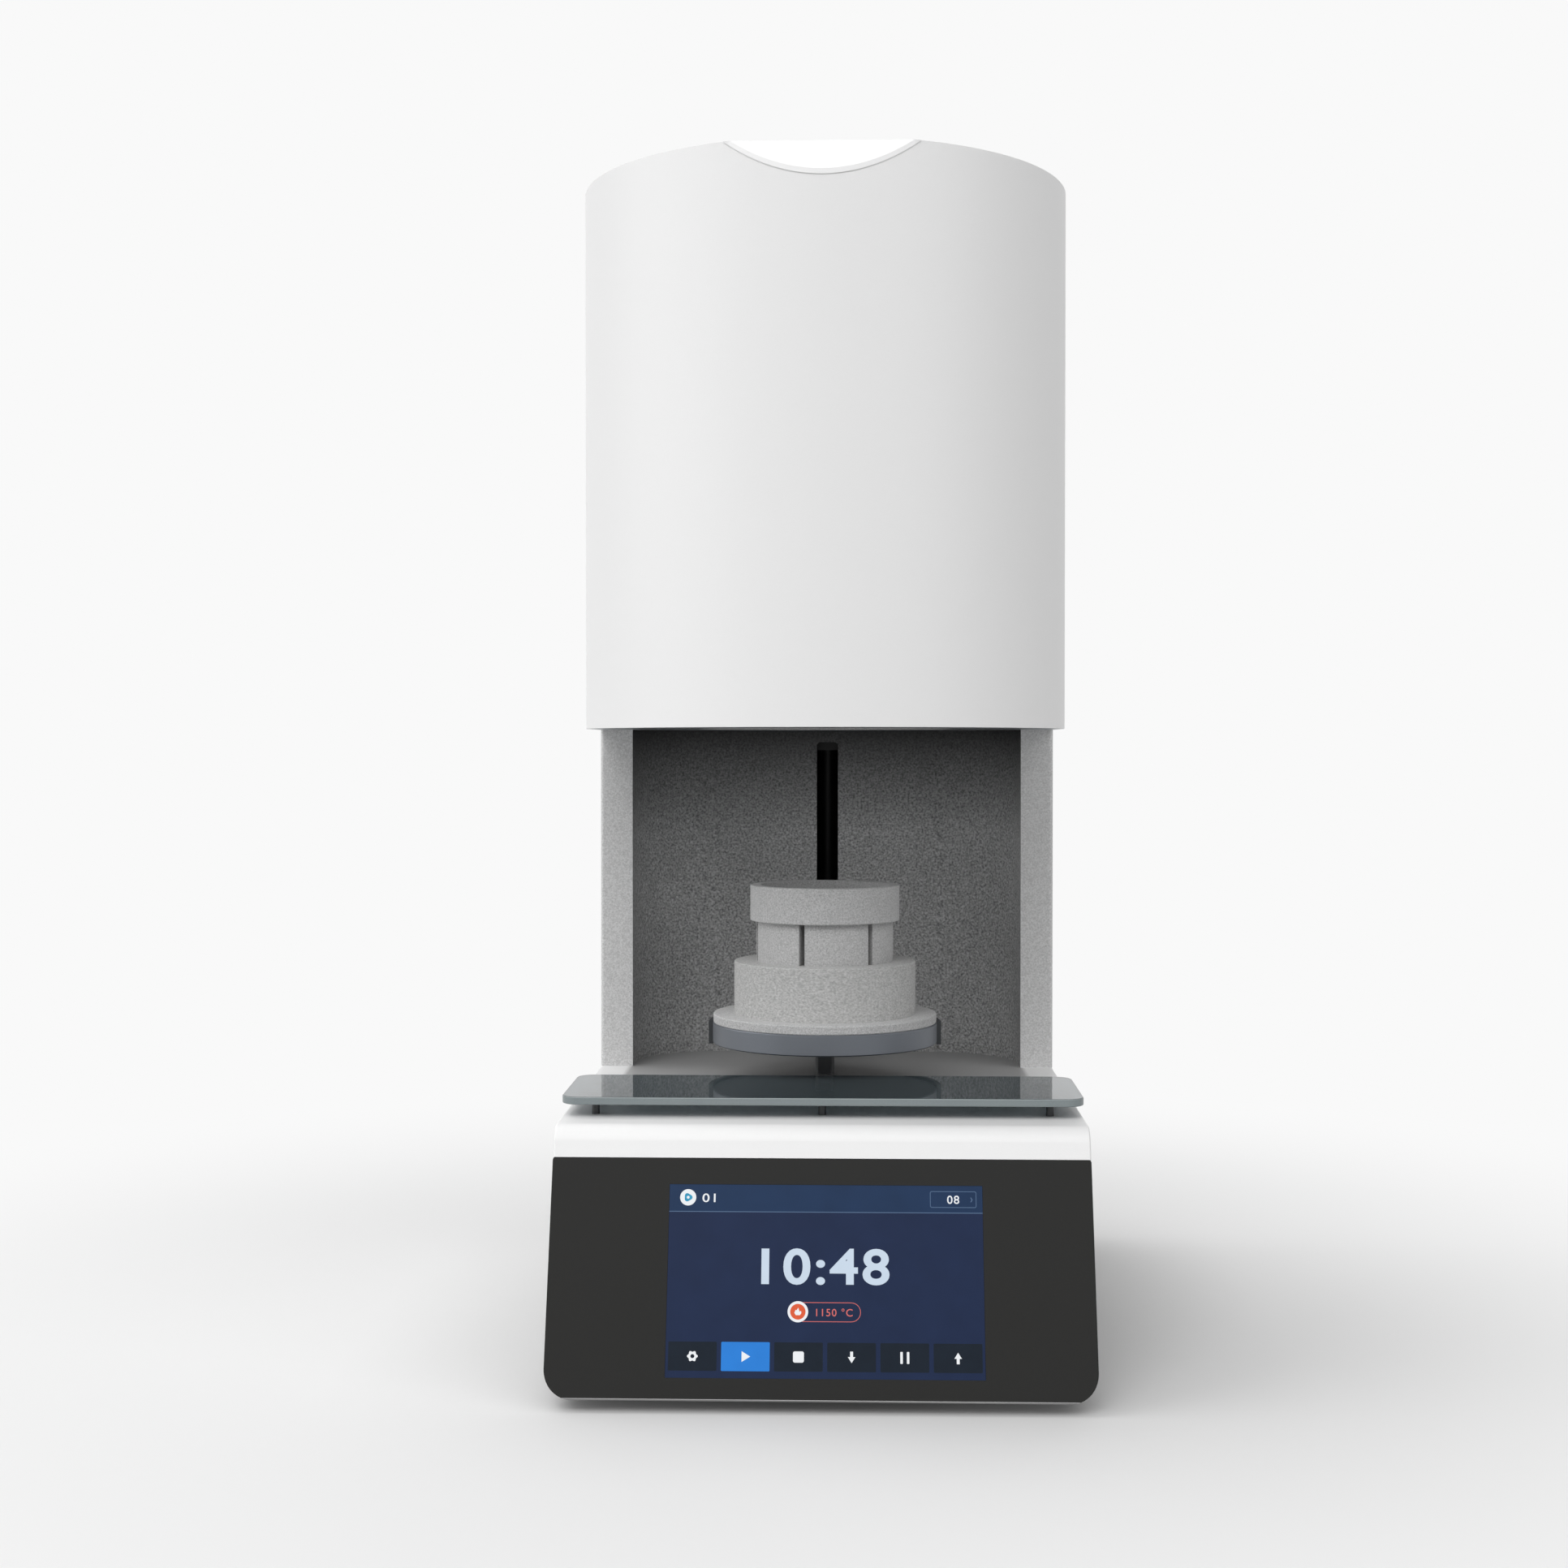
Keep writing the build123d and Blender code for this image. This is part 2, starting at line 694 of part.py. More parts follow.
with BuildPart() as shelf_pins:
    with BuildSketch(Plane.XY.offset(deck_z)):
        with Locations(*pin_places):
            Circle(pin_diameter / 2)
    extrude(amount=shelf_gap - pin_pad_thickness)
    with BuildSketch(Plane.XY.offset(shelf_z)):
        with Locations(*pin_places):
            Circle(pin_pad_diameter / 2)
    extrude(amount=-pin_pad_thickness)
    with BuildSketch(Plane.XY.offset(deck_z)):
        with Locations(*pin_places):
            Circle(stud_diameter / 2)
    extrude(amount=-stud_length)
write(shelf_pins, "shelf_pins")

# ---------------------------------------------------------------- column housing
cheek_inner = half_width - cheek_width
slot_back_y = wall_y + sheet
with BuildPart() as column_housing:
    # two side channels: a cheek in front, a side, and a folded edge at the rear
    with BuildSketch(Plane.XY.offset(deck_z)):
        for side in (-1, 1):
            with BuildLine():
                Polyline(
                    (side * cheek_inner, column_y),
                    (side * half_width, column_y),
                    (side * half_width, seam_y),
                    (side * (inner_half - flange_width), seam_y),
                    (side * (inner_half - flange_width), seam_y - sheet),
                    (side * inner_half, seam_y - sheet),
                    (side * inner_half, column_y + sheet),
                    (side * cheek_inner, column_y + sheet),
                    close=True,
                )
            make_face()
    extrude(amount=column_height)
    outer_edges = column_housing.edges().filter_by(Axis.Z).filter_by_position(
        Axis.Y, column_y - sheet / 2, column_y + sheet / 2
    )
    fillet(outer_edges.filter_by(lambda edge: abs(edge.center().X) > inner_half), cheek_edge_radius)
    # a plate across the top joins the channels behind the bay
    with BuildSketch(Plane.XY.offset(head_z)):
        with Locations((0, slot_back_y + seam)):
            Rectangle(2 * inner_half, seam_y - slot_back_y - seam, align=(Align.CENTER, Align.MIN))
        with Locations(*[(x, screw_y) for x in lead_x]):
            Circle(lead_diameter, mode=Mode.SUBTRACT)
    extrude(amount=-sheet)
    # tabs at the bottom and the top, screwed to the deck and to the head
    for tab_z in (deck_z, head_z - sheet):
        with BuildSketch(Plane.XY.offset(tab_z)):
            with Locations(*tower_places):
                Rectangle(flange_width, tab_length)
        extrude(amount=sheet)
        with BuildSketch(Plane.XY.offset(tab_z)):
            with Locations(*tower_places):
                Circle(cap_screw_size / 2)
        extrude(amount=sheet, mode=Mode.SUBTRACT)
    with BuildSketch(Plane.XZ.offset(-seam_y)):
        with Locations(*[(x, z) for x, z in cover_screw_places if z < head_z]):
            Circle(small_screw / 2)
    extrude(amount=sheet, mode=Mode.SUBTRACT)
write(column_housing, "column_housing")

# The bay wall is one bent sheet: flanges behind the cheeks, rounded corners and a flat back.
bay_wall_front_y = column_y + sheet + seam
with BuildPart() as bay_wall:
    with BuildSketch(Plane.XY.offset(deck_z)) as bay_outside:
        with Locations((0, slot_back_y)):
            Rectangle(
                2 * (cheek_inner + sheet),
                slot_back_y - bay_wall_front_y,
                align=(Align.CENTER, Align.MAX),
            )
        fillet(bay_outside.vertices().group_by(Axis.Y)[-1], bay_corner + sheet)
        with Locations((0, bay_wall_front_y)):
            Rectangle(2 * (cheek_inner + bay_flange), sheet, align=(Align.CENTER, Align.MIN))
    extrude(amount=column_height)
    with BuildSketch(Plane.XY.offset(deck_z)) as bay_inside:
        with Locations((0, wall_y)):
            Rectangle(2 * cheek_inner, wall_y - bay_wall_front_y, align=(Align.CENTER, Align.MAX))
        fillet(bay_inside.vertices().group_by(Axis.Y)[-1], bay_corner)
    extrude(amount=column_height, mode=Mode.SUBTRACT)
    # slot for the lift arm
    with BuildSketch(Plane.XZ.offset(-wall_y)) as slot:
        with Locations((0, deck_z + slot_bottom_gap)):
            Rectangle(
                slot_width,
                column_height - slot_top_gap - slot_bottom_gap,
                align=(Align.CENTER, Align.MIN),
            )
        fillet(slot.vertices().group_by(Axis.Z)[-1], slot_corner)
    extrude(amount=-sheet, mode=Mode.SUBTRACT)
write(bay_wall, "bay_wall")

# ---------------------------------------------------------------- head casing
rim_radius = half_width + facet_overhang
chord_setback = sqrt(rim_radius**2 - (facet_chord / 2) ** 2)
facet = radians(facet_slope)
# The facet's plate lies on a slanted cut through the rim, whose top edge is the chord.
facet_seat = Plane(
    origin=(0, stage_y - chord_setback, top_z), x_dir=(1, 0, 0), z_dir=(0, -sin(facet), cos(facet))
)

with BuildPart() as head_shell:
    with BuildSketch(Plane.XY.offset(head_z)):
        with Locations((0, stage_y)):
            Circle(half_width)
            Rectangle(body_width, seam_y - stage_y, align=(Align.CENTER, Align.MIN))
        with Locations((0, stage_y)):
            Circle(inner_half, mode=Mode.SUBTRACT)
            Rectangle(
                2 * inner_half,
                seam_y - stage_y - sheet,
                align=(Align.CENTER, Align.MIN),
                mode=Mode.SUBTRACT,
            )
        with Locations((0, seam_y)):
            Rectangle(2 * (inner_half - flange_width), 4 * sheet, mode=Mode.SUBTRACT)
    extrude(amount=head_height)
    # the front of the rim is cut away where the facet of the top cover lies
    with BuildSketch(facet_seat):
        Rectangle(body_width, body_width)
    extrude(amount=body_width, mode=Mode.SUBTRACT)
    with BuildSketch(Plane.XZ.offset(-seam_y)):
        with Locations(*[(x, z) for x, z in cover_screw_places if z > head_z]):
            Circle(small_screw / 2)
    extrude(amount=sheet, mode=Mode.SUBTRACT)
write(head_shell, "head_shell")

pillar_radius = inner_half - pillar_gap - pillar_diameter / 2
pillar_angle = radians(pillar_turn)
pillar_places = [
    (side * pillar_radius * sin(pillar_angle), stage_y - pillar_radius * cos(pillar_angle))
    for side in (-1, 1)
] + [
    (side * (inner_half - rear_pillar_inset), stage_y + rear_pillar_setback)
    for side in (-1, 1)
]
top_plate_z = top_z - top_thickness
# The slanted facet is a plate that overhangs the cut rim a little.
with BuildPart() as facet_plate:
    with Locations((0, stage_y, top_z)):
        Cylinder(rim_radius, head_height / 2, align=(Align.CENTER, Align.CENTER, Align.MAX))
    with BuildSketch(facet_seat):
        Rectangle(2 * body_width, 2 * body_width)
    extrude(amount=facet_thickness, mode=Mode.INTERSECT)

with BuildPart() as top_cover:
    with BuildSketch(Plane.XY.offset(top_plate_z)):
        with Locations((0, stage_y)):
            Circle(inner_half - seam)
            Rectangle(
                2 * (inner_half - seam),
                seam_y - sheet - seam - stage_y,
                align=(Align.CENTER, Align.MIN),
            )
            Rectangle(
                2 * (inner_half - flange_width - seam),
                seam_y - stage_y,
                align=(Align.CENTER, Align.MIN),
            )
    extrude(amount=top_thickness)
    with BuildSketch(facet_seat):
        Rectangle(body_width, body_width)
    extrude(amount=body_width, mode=Mode.SUBTRACT)
    with Locations(*[(x, y, top_z) for x, y in pillar_places]):
        CounterSinkHole(pillar_screw / 2, pillar_screw, depth=2 * top_thickness, counter_sink_angle=90)
    # two banks of air slots over the terminals
    with BuildSketch(Plane.XY.offset(top_z)):
        with Locations((0, stage_y)):
            with GridLocations(vent_length + 2 * vent_pitch, vent_pitch, 2, 2 * vent_rows + 1):
                SlotOverall(vent_length, vent_height)
    extrude(amount=-top_thickness, mode=Mode.SUBTRACT)
    add(facet_plate.part)
write(top_cover, "top_cover")

pillar_screw_solid = countersunk(pillar_screw, pillar_screw_length)
with BuildPart() as pillar_screws:
    with Locations(*[(x, y, top_z) for x, y in pillar_places]):
        add(pillar_screw_solid)
    with Locations(*[Location((x, y, head_z), (180, 0, 0)) for x, y in pillar_places]):
        add(pillar_screw_solid)
write(pillar_screws, "pillar_screws")

# ---------------------------------------------------------------- head floor and pillars
mouth_radius = plug_diameter / 2 + mouth_gap
mouth_ring_radius = mouth_radius + mouth_ring_wall
floor_top_z = head_z + floor_plate
with BuildPart() as head_floor:
    with BuildSketch(Plane.XY.offset(head_z)):
        with Locations((0, stage_y)):
            Circle(inner_half - seam)
            Rectangle(
                2 * (inner_half - seam),
                seam_y - sheet - seam - stage_y,
                align=(Align.CENTER, Align.MIN),
            )
            Circle(mouth_ring_radius + seam, mode=Mode.SUBTRACT)
        with Locations(*tower_places):
            Circle(cap_screw_size / 2, mode=Mode.SUBTRACT)
        with Locations(*[(x, screw_y) for x in lead_x]):
            Circle(lead_diameter, mode=Mode.SUBTRACT)
    extrude(amount=floor_plate)
    with Locations(*[(x, y, head_z) for x, y in pillar_places]):
        with Locations(Rot(180, 0, 0)):
            CounterSinkHole(pillar_screw / 2, pillar_screw, depth=2 * floor_plate, counter_sink_angle=90)
write(head_floor, "head_floor")

with BuildPart() as head_pillars:
    with Locations(*[(x, y, floor_top_z) for x, y in pillar_places]):
        Cylinder(
            pillar_diameter / 2,
            top_plate_z - floor_top_z,
            align=(Align.CENTER, Align.CENTER, Align.MIN),
        )
        Cylinder(
            pillar_screw / 2,
            3 * (top_plate_z - floor_top_z),
            mode=Mode.SUBTRACT,
        )
write(head_pillars, "head_pillars")

cap_screw_solid = cap_screw(cap_screw_size, cap_screw_length, cap_head_height)
with BuildPart() as tower_screws:
    with Locations(*[(x, y, floor_top_z) for x, y in tower_places]):
        add(cap_screw_solid)
    with Locations(*[(x, y, deck_z + sheet) for x, y in tower_places]):
        add(cap_screw_solid)
    with Locations(*[(x, y, pan_top_z + frame_foot_height) for x, y in frame_foot_places]):
        add(cap_screw_solid)
write(tower_screws, "tower_screws")

# ---------------------------------------------------------------- heated chamber
roof_z = head_z + chamber_height
roof_top_z = roof_z + roof_thickness
lid_z = roof_top_z + can_wall
muffle_radius = pillar_radius - pillar_diameter / 2 - can_gap - can_wall - seam
block_setback = muffle_radius - block_rim
element_radius = mouth_radius - element_inset
with BuildPart() as mouth_ring:
    with Locations((0, stage_y, head_z)):
        Cylinder(
            mouth_ring_radius, mouth_ring_height, align=(Align.CENTER, Align.CENTER, Align.MIN)
        )
        Cylinder(mouth_radius, 3 * mouth_ring_height, mode=Mode.SUBTRACT)
    chamfer(mouth_ring.faces().sort_by(Axis.Z)[0].edges(), edge_break)
write(mouth_ring, "mouth_ring")

with BuildPart() as muffle:
    with Locations((0, stage_y, floor_top_z)):
        Cylinder(
            muffle_radius, roof_z - floor_top_z, align=(Align.CENTER, Align.CENTER, Align.MIN)
        )
        Cylinder(mouth_radius, 3 * chamber_height, mode=Mode.SUBTRACT)
    with Locations((0, stage_y, head_z)):
        Cylinder(
            mouth_ring_radius,
            mouth_ring_height,
            align=(Align.CENTER, Align.CENTER, Align.MIN),
            mode=Mode.SUBTRACT,
        )
write(muffle, "muffle")

# The elements are hairpins hung through the roof, their bends above the raised plug.
element_tip_z = ring_z + lift_travel + element_tip_gap
bend_z = element_tip_z + element_wire / 2 + element_pitch / 2
cold_z = roof_z + cold_end_dip
cold_top_z = lid_z + element_stand_out
element_turns = [45 + 360 / element_count * i for i in range(element_count)]
element_planes = [
    Location((0, stage_y, 0), (0, 0, turn)) * Location((element_radius, 0, 0)) for turn in element_turns
]
rod_places = [
    plane * Location((0, side * element_pitch / 2, 0)) for plane in element_planes for side in (-1, 1)
]
hole_radius = element_rod / 2 + hole_gap

with BuildPart() as chamber_roof:
    with Locations((0, stage_y, roof_z)):
        Cylinder(muffle_radius, roof_thickness, align=(Align.CENTER, Align.CENTER, Align.MIN))
        Cylinder(probe_diameter / 2 + hole_gap, 3 * roof_thickness, mode=Mode.SUBTRACT)
    with Locations(*rod_places):
        with Locations((0, 0, roof_z)):
            Cylinder(hole_radius, 3 * roof_thickness, mode=Mode.SUBTRACT)
write(chamber_roof, "chamber_roof")

with BuildPart() as insulation_can:
    with Locations((0, stage_y, floor_top_z)):
        Cylinder(
            muffle_radius + seam + can_wall,
            roof_top_z - floor_top_z,
            align=(Align.CENTER, Align.CENTER, Align.MIN),
        )
        Cylinder(muffle_radius + seam, 3 * head_height, mode=Mode.SUBTRACT)
write(insulation_can, "insulation_can")

with BuildPart() as can_lid:
    with Locations((0, stage_y, roof_top_z)):
        Cylinder(
            muffle_radius + seam + can_wall, can_wall, align=(Align.CENTER, Align.CENTER, Align.MIN)
        )
        Cylinder(probe_diameter / 2 + hole_gap, 3 * can_wall, mode=Mode.SUBTRACT)
    with Locations(*rod_places):
        with Locations((0, 0, roof_top_z)):
            Cylinder(hole_radius, 3 * can_wall, mode=Mode.SUBTRACT)
write(can_lid, "can_lid")

with BuildPart() as heating_elements:
    with Locations(*rod_places):
        with Locations((0, 0, bend_z)):
            Cylinder(
                element_wire / 2, cold_z - bend_z, align=(Align.CENTER, Align.CENTER, Align.MIN)
            )
        with Locations((0, 0, cold_z)):
            Cylinder(
                element_rod / 2, cold_top_z - cold_z, align=(Align.CENTER, Align.CENTER, Align.MIN)
            )
    for plane in element_planes:
        bend_plane = Plane(plane * Location((0, 0, bend_z), (0, 90, 0)))
        with BuildSketch(Plane(plane * Location((0, element_pitch / 2, bend_z)))):
            Circle(element_wire / 2)
        revolve(axis=Axis(bend_plane.origin, bend_plane.z_dir), revolution_arc=-180)
write(heating_elements, "heating_elements")

clamp_z = lid_z + clamp_rise
clamp_top_z = clamp_z + clamp_height
rod_radius = sqrt(element_radius**2 + (element_pitch / 2) ** 2)
rod_turn = degrees(atan(element_pitch / 2 / element_radius))
rod_turns = [turn + side * rod_turn for turn in element_turns for side in (-1, 1)]
with BuildPart() as element_clamps:
    for turn in rod_turns:
        with Locations(
            Location((0, stage_y, clamp_z), (0, 0, turn)) * Location((rod_radius + clamp_shift, 0, 0))
        ):
            Box(
                clamp_length, clamp_width, clamp_height, align=(Align.CENTER, Align.CENTER, Align.MIN)
            )
    with Locations(*rod_places):
        with Locations((0, 0, clamp_z)):
            Cylinder(element_rod / 2, 3 * clamp_height, mode=Mode.SUBTRACT)
write(element_clamps, "element_clamps")

# Straps join neighbouring hairpins in series, at the left, the front and the right.
strap_radius = rod_radius + clamp_shift + clamp_length / 2 - strap_width / 2
strap_half_turn = radians(180 / element_count - rod_turn)
strap_length = 2 * strap_radius * sin(strap_half_turn) + strap_width
strap_setback = strap_radius * cos(strap_half_turn)
with BuildPart() as element_straps:
    for turn in (180, 270, 0):
        with Locations(
            Location((0, stage_y, clamp_top_z), (0, 0, turn)) * Location((strap_setback, 0, 0))
        ):
            Box(
                strap_width,
                strap_length,
                strap_thickness,
                align=(Align.CENTER, Align.CENTER, Align.MIN),
            )
    # the two ends of the series run back to the terminal block
    end_x = strap_radius * sin(strap_half_turn)
    end_length = block_setback + block_depth / 2 - strap_setback
    with Locations(*[(side * end_x, stage_y + strap_setback, clamp_top_z) for side in (-1, 1)]):
        Box(
            strap_width,
            end_length,
            strap_thickness,
            align=(Align.CENTER, Align.MIN, Align.MIN),
        )
write(element_straps, "element_straps")

block_rear_y = stage_y + block_setback + block_depth
with BuildPart() as terminal_block:
    with Locations((0, stage_y + block_setback, lid_z)):
        Box(
            block_width,
            block_depth,
            clamp_top_z - lid_z,
            align=(Align.CENTER, Align.MIN, Align.MIN),
        )
    chamfer(terminal_block.edges().filter_by(Axis.Z), 2 * edge_break)
write(terminal_block, "terminal_block")

with BuildPart() as thermocouple:
    with Locations((0, stage_y, roof_z - probe_tip_gap)):
        Cylinder(
            probe_diameter / 2,
            probe_tip_gap + roof_thickness + can_wall,
            align=(Align.CENTER, Align.CENTER, Align.MIN),
        )
    with Locations((0, stage_y, lid_z)):
        Cylinder(
            probe_head_diameter / 2,
            probe_head_height,
            align=(Align.CENTER, Align.CENTER, Align.MIN),
        )
write(thermocouple, "thermocouple")

# ---------------------------------------------------------------- rear cover and fan
fan_z = top_z - fan_drop
fan_bore = fan_size - 2 * fan_wall
fan_hole_pitch = fan_size - 2 * fan_hole_inset
fan_places = [
    (i * fan_hole_pitch / 2, fan_z + j * fan_hole_pitch / 2) for i in (-1, 1) for j in (-1, 1)
]
with BuildPart() as rear_cover:
    with BuildSketch(rear_plane):
        with Locations((0, deck_z + seam)):
            Rectangle(body_width, top_z - deck_z - seam, align=(Align.CENTER, Align.MIN))
        with Locations((0, fan_z)):
            Circle(fan_bore / 2, mode=Mode.SUBTRACT)
        with Locations(*fan_places):
            Circle(fan_screw / 2, mode=Mode.SUBTRACT)
        # air slots beside the chamber and beside the lift
        for bank_z in (head_z + vent_rise, (deck_z + head_z) / 2):
            with Locations((0, bank_z)):
                with GridLocations(vent_length + vent_pitch, vent_pitch, 3, 2 * vent_rows):
                    SlotOverall(vent_length, vent_height, mode=Mode.SUBTRACT)
    extrude(amount=sheet)
    fillet(rear_cover.edges().filter_by(Axis.Z).group_by(Axis.Y)[-1], side_edge_radius)
    with Locations(*[Location((x, rear_y, z), (-90, 0, 0)) for x, z in cover_screw_places]):
        CounterSinkHole(small_screw / 2, small_screw, depth=2 * sheet, counter_sink_angle=90)
write(rear_cover, "rear_cover")

fan_frame_plane = Plane.XZ.offset(-seam_y)
with BuildPart() as fan_frame:
    with BuildSketch(fan_frame_plane):
        with Locations((0, fan_z)):
            RectangleRounded(fan_size, fan_size, fan_corner)
            Circle(fan_bore / 2, mode=Mode.SUBTRACT)
        with Locations(*fan_places):
            Circle(fan_screw / 2, mode=Mode.SUBTRACT)
    extrude(amount=fan_depth)
    # struts that hold the motor's stator, on the outlet side
    with BuildSketch(fan_frame_plane):
        with Locations((0, fan_z)):
            for turn in (45, -45):
                Rectangle(fan_bore + fan_wall, strut_width, rotation=turn)
            Circle(fan_hub / 2)
    extrude(amount=fan_hub_wall - fan_clear)
    with BuildSketch(fan_frame_plane):
        with Locations((0, fan_z)):
            Circle(fan_pin / 2)
    extrude(amount=fan_depth - 2 * fan_hub_wall)
write(fan_frame, "fan_frame")

rotor_rear_y = seam_y - fan_hub_wall
rotor_depth = fan_depth - fan_hub_wall - fan_clear
blade_reach = fan_bore / 2 - fan_tip_gap
blade_root = fan_hub / 2 - blade_bury
with BuildPart() as fan_rotor:
    with BuildSketch(Plane.XZ.offset(-rotor_rear_y)):
        with Locations((0, fan_z)):
            Circle(fan_hub / 2)
    extrude(amount=rotor_depth)
    for i in range(fan_blades):
        with Locations(
            Location((0, rotor_rear_y - rotor_depth / 2, fan_z), (0, 360 / fan_blades * i, 0))
            * Location(((blade_root + blade_reach) / 2, 0, 0), (fan_blade_pitch, 0, 0))
        ):
            Box(blade_reach - blade_root, blade_chord, blade_thickness)
    # bore of the pin that the fan turns on
    with BuildSketch(Plane.XZ.offset(-rotor_rear_y)):
        with Locations((0, fan_z)):
            Circle(fan_pin / 2 + running_gap)
    extrude(amount=fan_depth - 3 * fan_hub_wall + fan_clear, mode=Mode.SUBTRACT)
write(fan_rotor, "fan_rotor")

guard_radii = [fan_bore / 2 - guard_pitch * i for i in range(guard_ring_count)]
spoke_length = fan_hole_pitch / sqrt(2) - guard_radii[-1]
with BuildPart() as fan_guard:
    with BuildSketch(rear_plane):
        with Locations((0, fan_z)):
            for radius in guard_radii:
                Circle(radius + guard_bar / 2)
                Circle(radius - guard_bar / 2, mode=Mode.SUBTRACT)
            with PolarLocations(guard_radii[-1] + spoke_length / 2, 4, start_angle=45):
                Rectangle(spoke_length, guard_bar)
        with Locations(*fan_places):
            Circle(fan_screw_head / 2 + guard_bar)
            Circle(fan_screw_head / 2, mode=Mode.SUBTRACT)
    extrude(amount=-rear_trim)
write(fan_guard, "fan_guard")

with BuildPart() as fan_screws:
    with BuildSketch(rear_plane):
        with Locations(*fan_places):
            Circle(fan_screw_head / 2)
    extrude(amount=-rear_trim)
    with BuildSketch(rear_plane):
        with Locations(*fan_places):
            Circle(fan_screw / 2)
    extrude(amount=fan_screw_length)
    with BuildSketch(rear_plane.offset(-rear_trim)):
        with Locations(*fan_places):
            Rectangle(screw_slot[0], screw_slot[1])
            Rectangle(screw_slot[1], screw_slot[0])
    extrude(amount=screw_slot[1], mode=Mode.SUBTRACT)
write(fan_screws, "fan_screws")

# ---------------------------------------------------------------- firing stage
with BuildPart() as lift_table:
    with Locations((0, stage_y, table_z)):
        Cylinder(table_diameter / 2, table_thickness, align=(Align.CENTER, Align.CENTER, Align.MIN))
    chamfer(lift_table.faces().filter_by(Axis.Z).edges(), edge_break)
write(lift_table, "lift_table")

cradle_z = table_z - cradle_drop
with BuildPart() as table_cradle:
    with BuildSketch(Plane.XY.offset(cradle_z)):
        with Locations((0, stage_y)):
            Circle(table_diameter / 2 + cradle_wall)
            Circle(table_diameter / 2, mode=Mode.SUBTRACT)
            Rectangle(
                2 * table_diameter,
                table_diameter,
                align=(Align.CENTER, Align.MAX),
                mode=Mode.SUBTRACT,
            )
    extrude(amount=cradle_height)
    with Locations((0, stage_y, table_z)):
        Box(
            arm_width,
            2 * table_diameter,
            2 * cradle_drop,
            mode=Mode.SUBTRACT,
        )
write(table_cradle, "table_cradle")

with BuildPart() as stage_flange:
    with Locations((0, stage_y, flange_z)):
        Cylinder(
            flange_diameter / 2, flange_thickness, align=(Align.CENTER, Align.CENTER, Align.MIN)
        )
    fillet(stage_flange.faces().filter_by(Axis.Z).edges(), edge_break)
write(stage_flange, "stage_flange")

with BuildPart() as insulation_plug:
    with Locations((0, stage_y, plug_z)):
        Cylinder(plug_diameter / 2, plug_height, align=(Align.CENTER, Align.CENTER, Align.MIN))
    fillet(insulation_plug.faces().sort_by(Axis.Z)[-1].edges(), edge_break)
write(insulation_plug, "insulation_plug")

with BuildPart() as slotted_ring:
    with Locations((0, stage_y, ring_z)):
        Cylinder(ring_diameter / 2, ring_height, align=(Align.CENTER, Align.CENTER, Align.MIN))
    with Locations((0, stage_y, ring_z + ring_floor)):
        Cylinder(
            ring_core_diameter / 2 - 1.5 * ring_slot_width,
            ring_height,
            align=(Align.CENTER, Align.CENTER, Align.MIN),
            mode=Mode.SUBTRACT,
        )
    for i in range(ring_slot_count):
        with Locations(
            Location((0, stage_y, ring_z), (0, 0, ring_slot_turn + 360 / ring_slot_count * i - 90))
            * Location((ring_core_diameter / 2, 0, 0))
        ):
            Box(
                ring_diameter,
                ring_slot_width,
                3 * ring_height,
                align=(Align.MIN, Align.CENTER, Align.CENTER),
                mode=Mode.SUBTRACT,
            )
write(slotted_ring, "slotted_ring")

with BuildPart() as firing_dish:
    with Locations((0, stage_y, dish_z)):
        Cylinder(dish_diameter / 2, dish_height, align=(Align.CENTER, Align.CENTER, Align.MIN))
    with Locations((0, stage_y, dish_z + dish_floor)):
        Cylinder(
            dish_diameter / 2 - dish_wall,
            dish_height,
            align=(Align.CENTER, Align.CENTER, Align.MIN),
            mode=Mode.SUBTRACT,
        )
    fillet(firing_dish.edges().filter_by(GeomType.CIRCLE), edge_break)
write(firing_dish, "firing_dish")

# ---------------------------------------------------------------- lift
carriage_top_z = arm_z + arm_height + carriage_top_gap
carriage_z = carriage_top_z - carriage_height
arm_screw_places = [
    (
        side * (arm_foot_width / 2 - arm_screw_inset),
        table_z - arm_foot_height / 2 + step * (arm_foot_height / 2 - arm_screw_inset),
    )
    for side in (-1, 1)
    for step in (-1, 1)
]
with BuildPart() as lift_arm:
    with Locations((0, stage_y - arm_front, arm_z)):
        Box(
            arm_width,
            carriage_front_y - stage_y + arm_front,
            arm_height,
            align=(Align.CENTER, Align.MIN, Align.MIN),
        )
    fillet(lift_arm.edges().filter_by(Axis.Z).group_by(Axis.Y)[0], 4 * edge_break)
    with Locations((0, foot_front_y, table_z)):
        Box(
            arm_foot_width,
            arm_foot_depth,
            arm_foot_height,
            align=(Align.CENTER, Align.MIN, Align.MAX),
        )
    with Locations(*[Location((x, foot_front_y, z), (90, 0, 0)) for x, z in arm_screw_places]):
        CounterSinkHole(arm_screw / 2, arm_screw, depth=2 * arm_foot_depth, counter_sink_angle=90)
write(lift_arm, "lift_arm")

with BuildPart() as arm_screws:
    screw = countersunk(arm_screw, arm_screw_length)
    with Locations(*[Location((x, foot_front_y, z), (90, 0, 0)) for x, z in arm_screw_places]):
        add(screw)
write(arm_screws, "arm_screws")

